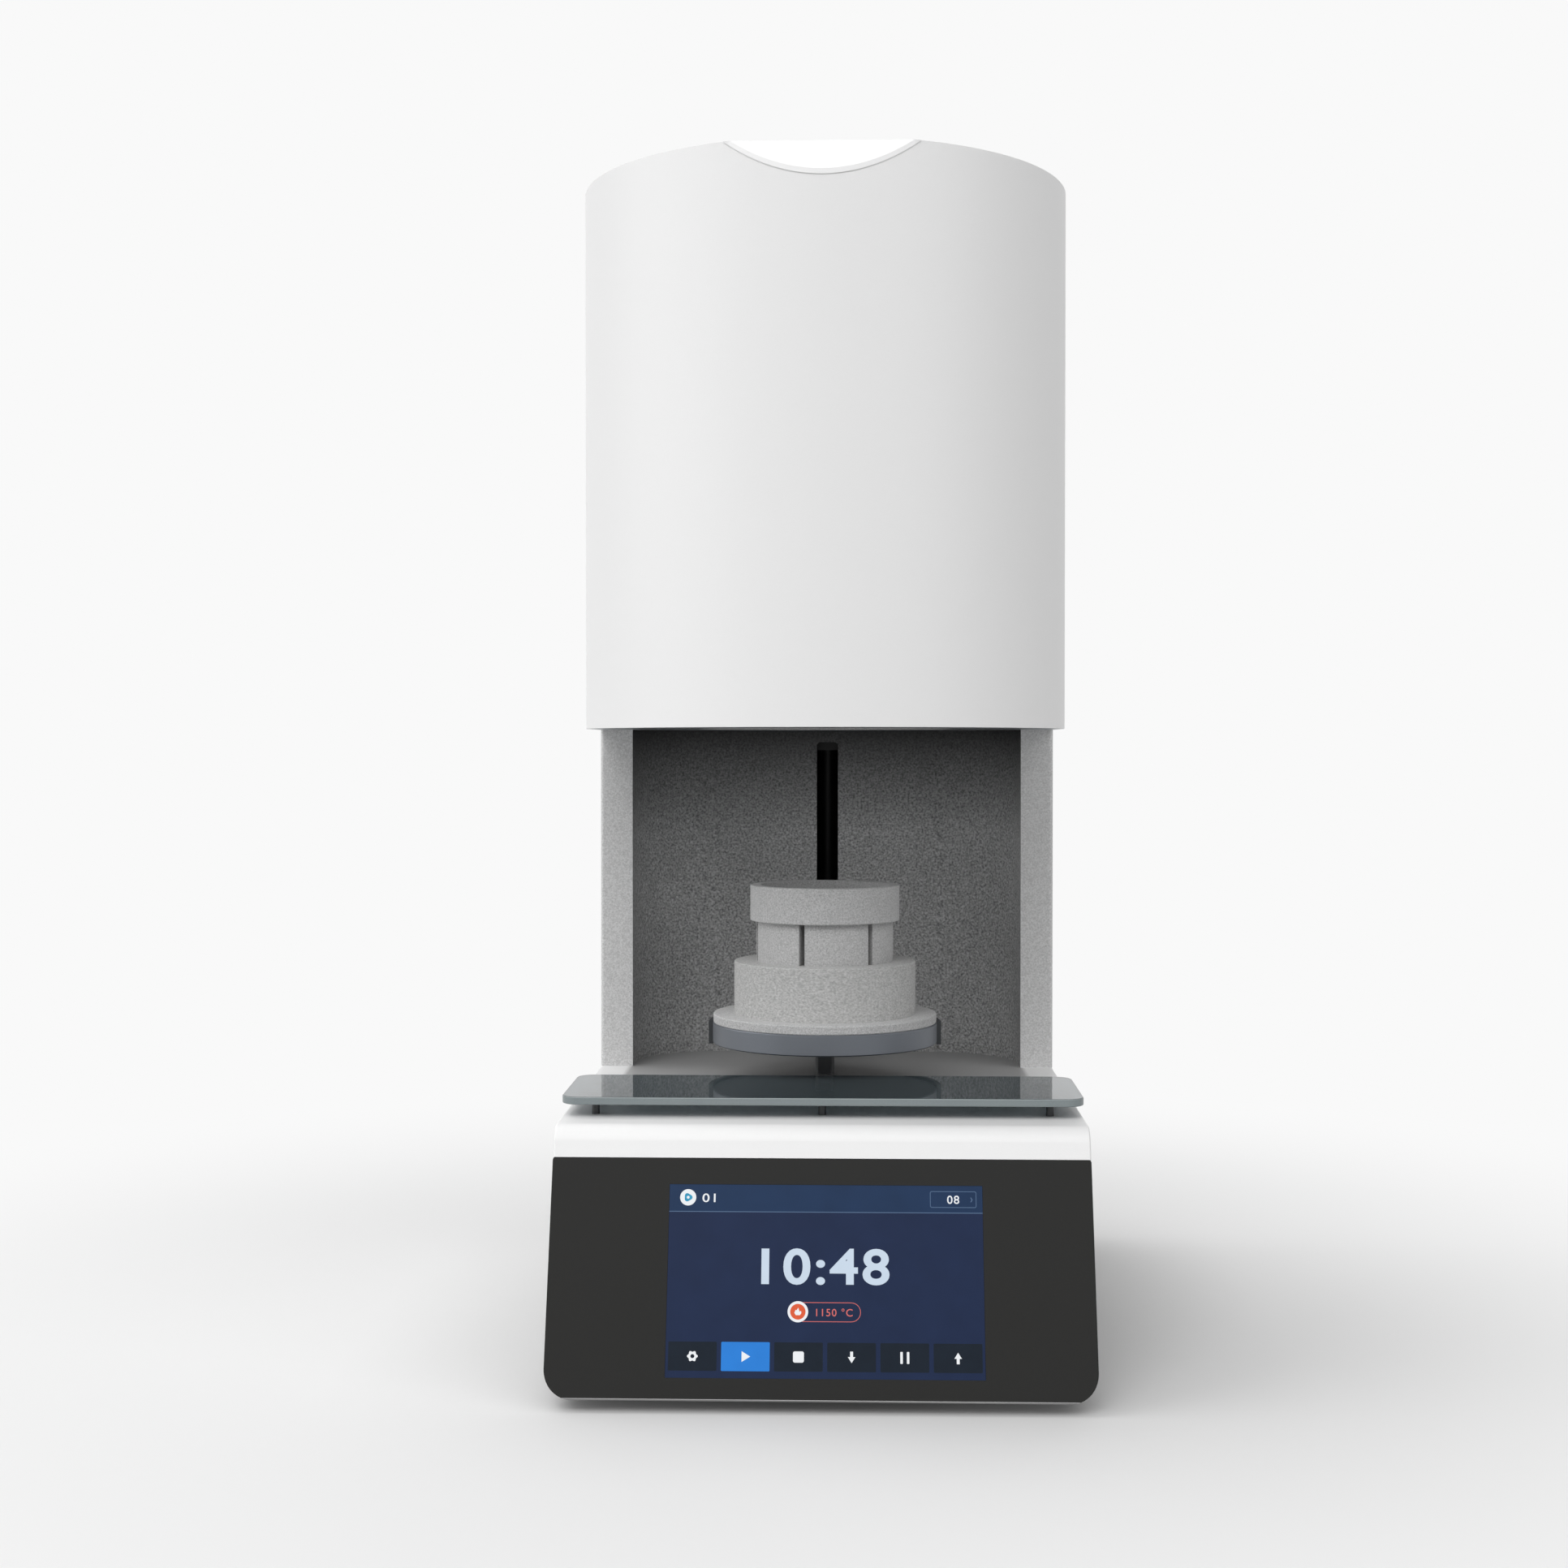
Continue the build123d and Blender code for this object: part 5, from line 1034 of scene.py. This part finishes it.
@dataclass
class Casing(Assembly):
    """The white sheet casings, what closes them from below, and the feet."""

    smooth_coat: Finish = WHITE_COAT
    textured_coat: Finish = COLUMN_COAT
    plate: Finish = ZINC_SHEET
    steel: Finish = TURNED_STEEL
    cheek_width: float = 18.7
    base_tone: str = "#e9e9e9"
    # Painted shade: the deck in the bay, behind the glass, is painted grey where it lies in shade.
    painted_deck_shade_tone: str = "#a4a4a4"
    # Painted shade: the lid is painted a darker white, where its top faces the lamps.
    painted_lid_shade_tone: str = "#e4e4e4"
    # Painted highlight: the slanted facet is painted whiter, where it faces the light.
    painted_facet_highlight_tone: str = "#f8f8f8"
    facet_start: float = -130.8
    # Painted shade: a thin dark band along the base's lower edge, which lies in shade.
    painted_lip_shade_tone: str = "#626262"
    lip_height: float = 1.0
    border: float = 3.0

    def base_coat(self) -> Finish:
        """The base's coat, with painted shade: grey on the deck behind the glass, and a thin dark
        band along the lower edge.

        Returns:
            The finish.
        """
        column_low, column_high = [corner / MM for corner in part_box("column_housing")]
        shelf_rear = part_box("glass_shelf")[1].y / MM
        base_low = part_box("base_cover")[0].z / MM
        edge = self.border
        left, right = column_low.x + self.cheek_width, column_high.x - self.cheek_width
        limits = (
            (0, left - edge, left),
            (0, right + edge, right),
            (1, shelf_rear - edge, shelf_rear),
            (2, column_low.z - edge, column_low.z - edge / 2),
        )
        # The zone of painted shade on the deck.
        deck = Zone(self.painted_deck_shade_tone, limits)
        # A thin band of painted shade along the lower edge.
        lip_top = base_low + self.lip_height
        lip = Zone(self.painted_lip_shade_tone, ((2, lip_top, base_low + self.lip_height / 2),))
        return self.zoned_coat("white_powder_coat_painted_floor_shade", self.base_tone, deck, lip)

    def zoned_coat(self, name: str, tone: str, *zones: Zone) -> Finish:
        """Make a coat that is the casings' smooth one, apart from its colours.

        Args:
            name: The finish's name.
            tone: Its main colour.
            zones: Its zones.

        Returns:
            The finish.
        """
        smooth = self.smooth_coat
        return ZonedFinish(name, tone, smooth.roughness, grains=smooth.grains, zones=zones)

    def lid_coat(self) -> Finish:
        """The lid's coat: its slanted facet is painted the whitest of all faces, a painted
        highlight where it faces the light, and the rest of the lid a darker white, as painted shade
        on its top.

        Returns:
            The finish.
        """
        rim = self.facet_start
        # The facet's painted highlight.
        facet = Zone(self.painted_facet_highlight_tone, ((1, rim, rim - self.border / 2),))
        return self.zoned_coat("white_coat_lid_painted_facet_highlight", self.painted_lid_shade_tone, facet)

    def build(self) -> None:
        """Dress the casings, the pan, the screws and the feet."""
        self.dress(self.smooth_coat, "head_shell", "rear_cover")
        self.dress(self.base_coat(), "base_cover")
        self.dress(self.lid_coat(), "top_cover")
        self.dress(self.textured_coat, "column_housing")
        self.dress(self.plate, "base_pan")
        self.dress(self.steel, "casing_screws", "pillar_screws", "tower_screws")
        self.dress(FOOT_RUBBER, "rubber_feet")


@dataclass
class ControlPanel(Assembly):
    """The leaning fascia and its lit touch display."""

    fascia: Finish = FASCIA_ABS
    screen: Finish = LIT_NAVY

    def build(self) -> None:
        """Dress the fascia and the display's parts, and lay the picture on the glass."""
        self.dress(self.fascia, "fascia")
        self.dress(self.screen, "touch_display")
        self.dress(SOLDER_MASK, "display_board")
        Display().build()


@dataclass
class GlassShelf(Assembly):
    """The tinted shelf in front of the bay, on its pins."""

    corner: float = 9.0
    corner_steps: int = 10
    seamed_edge: float = 0.5
    seam_steps: int = 2
    polished_slope: float = 0.9
    glass: Finish = SMOKED_GLASS
    edge: Finish = GROUND_EDGE

    def plate(self) -> Piece:
        """Make the glass with round corners and seamed edges, in place of the plain solid.

        Returns:
            The plate, whose polished faces and ground edge differ in finish.
        """
        low, high = [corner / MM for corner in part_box("glass_shelf")]
        size = high - low
        shape = rectangle(size.x, size.y, self.corner, self.corner_steps)
        middle = Vector(((low.x + high.x) / 2, (low.y + high.y) / 2, low.z))
        bmesh.ops.translate(shape, verts=shape.verts, vec=middle)
        raise_plate(shape, size.z)
        level = size.z / 2
        rims = [
            edge for edge in shape.edges if abs(edge.verts[0].co.z - edge.verts[1].co.z) < level
        ]
        bevel(shape, rims, "EDGES", self.seamed_edge, self.seam_steps)
        made = finish_piece(shape, "shelf_glass", self.glass, "casing")
        made.data.materials.append(self.edge.material())
        for face in made.data.polygons:
            face.material_index = 0 if abs(face.normal.z) > self.polished_slope else 1
        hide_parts("glass_shelf")
        return made

    def build(self) -> None:
        """Make the glass and dress the pins."""
        self.plate()
        self.dressed.append("glass_shelf")
        self.dress(DARK_ENAMEL, "shelf_pins")


@dataclass
class Bay(Assembly):
    """The rounded wall behind the firing stage."""

    tone: str = "#dadada"
    # Painted shade: the top of the wall is painted darker, under the overhanging head.
    painted_top_shade_tone: str = "#3b3b3b"
    painted_top_shade_height: float = 62.0

    def coat(self) -> Finish:
        """A coarse texture powder that hides marks: matte, with speckled peaks.

        The speckles are drawn 1.2 mm wide for the real 0.7 mm, so that they show. The coat is
        painted darker towards the top, as painted shade under the head.

        Returns:
            The finish.
        """
        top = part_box("bay_wall")[1].z / MM
        return ZonedFinish(
            "grey_powder_coat_textured",
            self.tone,
            0.7,
            specular=0.3,
            grains=(
                Grain(1.2, relief_mm=0.10, tint=0.74, rough=0.08, detail=4.0),
                Grain(26.0, tint=0.05),
            ),
            # The zone of painted shade at the top of the wall.
            zones=(Zone(self.painted_top_shade_tone, ((2, top - self.painted_top_shade_height, top),)),),
        )

    def build(self) -> None:
        """Dress the wall."""
        self.dress(self.coat(), "bay_wall")


@dataclass
class FiringStage(Assembly):
    """What rises into the head: the table, the plug, the slotted ring and the dish."""

    metal: Finish = ANODISED_TABLE
    board: Finish = FIBRE_BOARD
    ceramic: Finish = FIRED_ALUMINA

    def build(self) -> None:
        """Dress the stage from the table upwards."""
        self.dress(self.metal, "lift_table")
        self.dress(DARK_ENAMEL, "table_cradle")
        self.dress(self.ceramic, "stage_flange", "slotted_ring", "firing_dish")
        self.dress(self.board, "insulation_plug")


@dataclass
class Chamber(Assembly):
    """The heated chamber in the head, with its supply."""

    board: Finish = FIBRE_BOARD
    ceramic: Finish = FIRED_ALUMINA
    sheet: Finish = ZINC_SHEET

    def build(self) -> None:
        """Dress the chamber from the mouth upwards, then the leads that feed it."""
        self.dress(self.sheet, "head_floor", "insulation_can", "can_lid")
        self.dress(self.board, "muffle", "chamber_roof")
        self.dress(self.ceramic, "mouth_ring", "terminal_block", "thermocouple")
        self.dress(GLAZED_ELEMENT, "heating_elements")
        self.dress(MILLED_ALUMINIUM, "element_straps")
        self.dress(TURNED_STEEL, "element_clamps", "head_pillars")
        self.dress(LEAD_SLEEVE, "heating_leads")


@dataclass
class Lift(Assembly):
    """The motor, the screw and the carriage behind the bay."""

    frame: Finish = BLACK_OXIDE
    rods: Finish = TURNED_STEEL

    def build(self) -> None:
        """Dress the lift's fixed parts, then what moves."""
        self.dress(self.frame, "lift_frame", "lead_screw")
        self.dress(self.rods, "guide_rods", "screw_bearing", "arm_screws")
        self.dress(MOTOR_LACQUER, "lift_motor")
        self.dress(BLACK_NYLON, "limit_switches")
        self.dress(MILLED_ALUMINIUM, "carriage")
        self.dress(TURNED_BRONZE, "carriage_bushes", "lead_nut")
        self.dress(DARK_ENAMEL, "lift_arm")


@dataclass
class Electrics(Assembly):
    """The transformer, the power supply and the controller in the base."""

    def build(self) -> None:
        """Dress the electrical parts, with the film's turns around the transformer's own axis."""
        low, high = [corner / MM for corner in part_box("transformer")]
        width = high.x - low.x
        film = WoundFinish(
            "film_wound_core",
            "#d9c06a",
            0.3,
            coat=0.4,
            centre_mm=((low.x + high.x) / 2, low.y + width / 2),
            grains=(Grain(3.0, relief_mm=0.04, tint=0.08),),
        )
        self.dress(film, "transformer")
        self.dress(ZINC_SHEET, "power_supply")
        self.dress(SOLDER_MASK, "controller_board")
        self.dress(BLACK_NYLON, "power_relay")
        self.dress(MILLED_ALUMINIUM, "relay_sink")


@dataclass
class RearFace(Assembly):
    """The fan, the mains inlet, the switch and the fuses."""

    moulding: Finish = BLACK_NYLON
    mark_height: float = 4.0
    mark_line: float = 0.8
    ink: float = 0.04
    ring_steps: int = 32
    outer_slope: float = 0.8

    def rocker_place(self, upper: bool) -> Matrix:
        """Find the middle and the lie of one half of the rocker's outer face.

        Args:
            upper: True for the half above the rocker's pivot.

        Returns:
            The transform from a mark's own plane onto that half, in millimetres.
        """
        low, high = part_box("switch_rocker")
        middle_z = (low.z + high.z) / 2
        place = Vector()
        outwards = Vector()
        whole = 0.0
        for face in self.nodes["switch_rocker"].data.polygons:
            if face.normal.y > self.outer_slope and (face.center.z > middle_z) == upper:
                place += face.center * face.area
                outwards += face.normal * face.area
                whole += face.area
        outwards.normalize()
        across = Vector((-1.0, 0.0, 0.0))
        axes = Matrix((across, outwards.cross(across), outwards)).transposed().to_4x4()
        return Matrix.Translation(place / whole / MM) @ axes

    def rocker_marks(self) -> Piece:
        """Print a bar and a ring on the halves of the rocker, for on and off.

        Returns:
            The print.
        """
        bar = rectangle(self.mark_line, self.mark_height)
        ring = bmesh.new()
        outer = self.mark_height / 2
        for radius in (outer, outer - self.mark_line):
            bmesh.ops.create_circle(ring, cap_ends=False, radius=radius, segments=self.ring_steps)
        bmesh.ops.bridge_loops(ring, edges=ring.edges[:])
        whole = bmesh.new()
        for mark, upper in ((bar, True), (ring, False)):
            raise_plate(mark, self.ink)
            bmesh.ops.transform(mark, matrix=self.rocker_place(upper), verts=mark.verts)
            join(whole, mark)
        return finish_piece(whole, "rocker_marks", PAD_PRINT, "rocker")

    def build(self) -> None:
        """Dress the rear face's parts and print the switch."""
        self.dress(self.moulding, "fan_frame", "fan_rotor", "mains_inlet", "power_switch")
        self.dress(self.moulding, "fuse_holders")
        self.dress(GLOSS_ROCKER, "switch_rocker")
        self.dress(TURNED_STEEL, "fan_guard", "fan_screws")
        self.dress(TURNED_BRONZE, "inlet_prongs")
        self.rocker_marks()


# ------------------------------------------------------------------ the studio
@dataclass(frozen=True)
class Lamp:
    """A soft distant lamp.

    Its azimuth runs from the camera's side towards the left, its strength is the light on a surface
    that faces it, and its softness is how wide it looks from the object, all angles in degrees. A
    fill lamp that isn't mirrored leaves no highlight on the glass.
    """

    name: str
    azimuth: float
    elevation: float
    strength: float
    softness: float
    mirrored: bool = True

    def add(self) -> None:
        """Add the lamp to the scene."""
        data = bpy.data.lights.new(self.name, "SUN")
        data.energy = self.strength
        data.angle = math.radians(self.softness)
        lamp = put(self.name, data)
        lamp.visible_glossy = self.mirrored
        side = math.radians(self.azimuth)
        rise = math.radians(self.elevation)
        reach = math.cos(rise)
        place = Vector((-math.sin(side) * reach, -math.cos(side) * reach, math.sin(rise)))
        lamp.rotation_euler = place.to_track_quat("Z", "Y").to_euler()


@dataclass
class Studio:
    """A plain pale floor, soft light and the camera at the photograph's viewing angle."""

    camera_mm: Triple = (14.7, -1217.6, 316.2)
    yaw: float = -0.0309187
    pitch: float = 0.0171074
    lens_mm: float = 50.0
    sensor_mm: float = 36.0
    clip_end_m: float = 200.0
    backdrop: str = "#f9f9f9"
    floor_seen: str = "#e3e3e3"
    floor_bounce: str = "#bcbcbc"
    fade_start_m: float = 0.10
    fade_end_m: float = 0.8
    corner_shade_m: float = 0.12
    corner_shade_share: float = 0.5
    sky_light: float = 0.02
    floor_half_m: float = 30.0
    lamps: tuple[Lamp, ...] = (
        Lamp("left_lamp", 75.0, 20.0, 1.3, 60.0),
        Lamp("front_lamp", 20.0, 45.0, 1.4, 40.0),
        Lamp("right_lamp", -45.0, 35.0, 1.15, 60.0),
        Lamp("back_lamp", 118.0, 58.0, 1.0, 40.0),
        Lamp("rear_lamp", 182.0, 28.0, 0.6, 60.0, mirrored=False),
    )

    def add_camera(self) -> None:
        """Set the camera where the photograph was taken from."""
        data = bpy.data.cameras.new("camera")
        data.lens = self.lens_mm
        data.sensor_width = self.sensor_mm
        data.clip_end = self.clip_end_m
        camera = put("camera", data)
        level = math.cos(self.pitch)
        across, ahead = math.sin(self.yaw) * level, math.cos(self.yaw) * level
        forward = Vector((across, ahead, -math.sin(self.pitch)))
        camera.location = Vector(self.camera_mm) * MM
        camera.rotation_euler = forward.to_track_quat("-Z", "Y").to_euler()
        bpy.context.scene.camera = camera

    def seen(self, tree: NodeTree) -> NodeSocket:
        """Tell rays that show the surroundings from rays that carry light.

        Args:
            tree: The node tree that asks.

        Returns:
            An output that is 1 for what the camera, a mirror or a glass shows.
        """
        path = add(tree, "ShaderNodeLightPath")
        shows = path.outputs["Is Camera Ray"]
        for kind in ("Is Glossy Ray", "Is Transmission Ray"):
            links = {0: shows, 1: path.outputs[kind]}
            shows = add(tree, "ShaderNodeMath", links=links, operation="MAXIMUM").outputs["Value"]
        return shows

    def add_world(self) -> None:
        """Make the backdrop's colour and the even light from all around."""
        world = bpy.data.worlds.new("studio")
        tree = empty_tree(world)
        values = {"Color": linear("#ffffff"), "Strength": self.sky_light}
        light = add(tree, "ShaderNodeBackground", values)
        values = {"Color": linear(self.backdrop), "Strength": 1.0}
        shown = add(tree, "ShaderNodeBackground", values)
        links = {0: self.seen(tree), 1: light.outputs[0], 2: shown.outputs[0]}
        mix = add(tree, "ShaderNodeMixShader", links=links)
        add(tree, "ShaderNodeOutputWorld", links={"Surface": mix.outputs[0]})
        bpy.context.scene.world = world

    def floor_shown(self, tree: NodeTree) -> NodeSocket:
        """Shade what the floor shows: the furnace's soft shadow, which fades into the backdrop.

        Args:
            tree: The floor's node tree.

        Returns:
            A shader output.
        """
        values = {"Color": linear(self.floor_seen), "Distance": self.corner_shade_m}
        shaded = add(tree, "ShaderNodeAmbientOcclusion", values)
        values = {MIX_SHARE: self.corner_shade_share, MIX_FROM: linear(self.floor_seen)}
        links = {MIX_TO: shaded.outputs["Color"]}
        tone = add(tree, "ShaderNodeMix", values, links, data_type="RGBA")
        near = add(tree, "ShaderNodeBsdfDiffuse", links={"Color": tone.outputs[MIX_RESULT]})
        values = {"Color": linear(self.backdrop), "Strength": 1.0}
        far = add(tree, "ShaderNodeEmission", values)
        place = add(tree, "ShaderNodeTexCoord")
        links = {0: place.outputs["Object"]}
        reach = add(tree, "ShaderNodeVectorMath", links=links, operation="LENGTH")
        fade = add(
            tree,
            "ShaderNodeMapRange",
            {"From Min": self.fade_start_m, "From Max": self.fade_end_m},
            {"Value": reach.outputs["Value"]},
            interpolation_type="SMOOTHSTEP",
        )
        links = {0: fade.outputs["Result"], 1: near.outputs[0], 2: far.outputs[0]}
        return add(tree, "ShaderNodeMixShader", links=links).outputs[0]

    def add_floor(self) -> None:
        """Lay the floor, which shows pale but gives back less light than it shows.

        Away from the furnace its colour fades into the backdrop, as a studio's paper sweep looks.
        """
        material = bpy.data.materials.new("floor")
        tree = empty_tree(material)
        shown = self.floor_shown(tree)
        bounce = add(tree, "ShaderNodeBsdfDiffuse", {"Color": linear(self.floor_bounce)})
        links = {0: self.seen(tree), 1: bounce.outputs[0], 2: shown}
        mix = add(tree, "ShaderNodeMixShader", links=links)
        add(tree, "ShaderNodeOutputMaterial", links={"Surface": mix.outputs[0]})
        shape = bmesh.new()
        bmesh.ops.create_grid(shape, x_segments=1, y_segments=1, size=self.floor_half_m)
        mesh = bpy.data.meshes.new("floor")
        shape.to_mesh(mesh)
        shape.free()
        mesh.materials.append(material)
        floor = put("floor", mesh)

    def build(self) -> None:
        """Set up the whole studio."""
        scene = bpy.context.scene
        scene.view_settings.view_transform = "Standard"
        self.add_camera()
        self.add_world()
        for lamp in self.lamps:
            lamp.add()
        self.add_floor()
        LOG.info("set up the studio")


def main() -> None:
    """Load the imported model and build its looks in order."""
    logging.basicConfig(level=logging.INFO, format="%(name)s: %(message)s")
    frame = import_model()
    nodes = frame["nodes"]
    Studio().build()
    kinds = (
        Casing, ControlPanel, GlassShelf, Bay, FiringStage, Chamber, Lift, Electrics, RearFace
    )
    dressed: list[str] = []
    for kind in kinds:
        assembly = kind(nodes)
        assembly.build()
        dressed += assembly.dressed
    bare = sorted(set(nodes) - set(dressed))
    if bare:
        raise RuntimeError(f"no finish for {', '.join(bare)}")


if __name__ == "__main__":
    main()
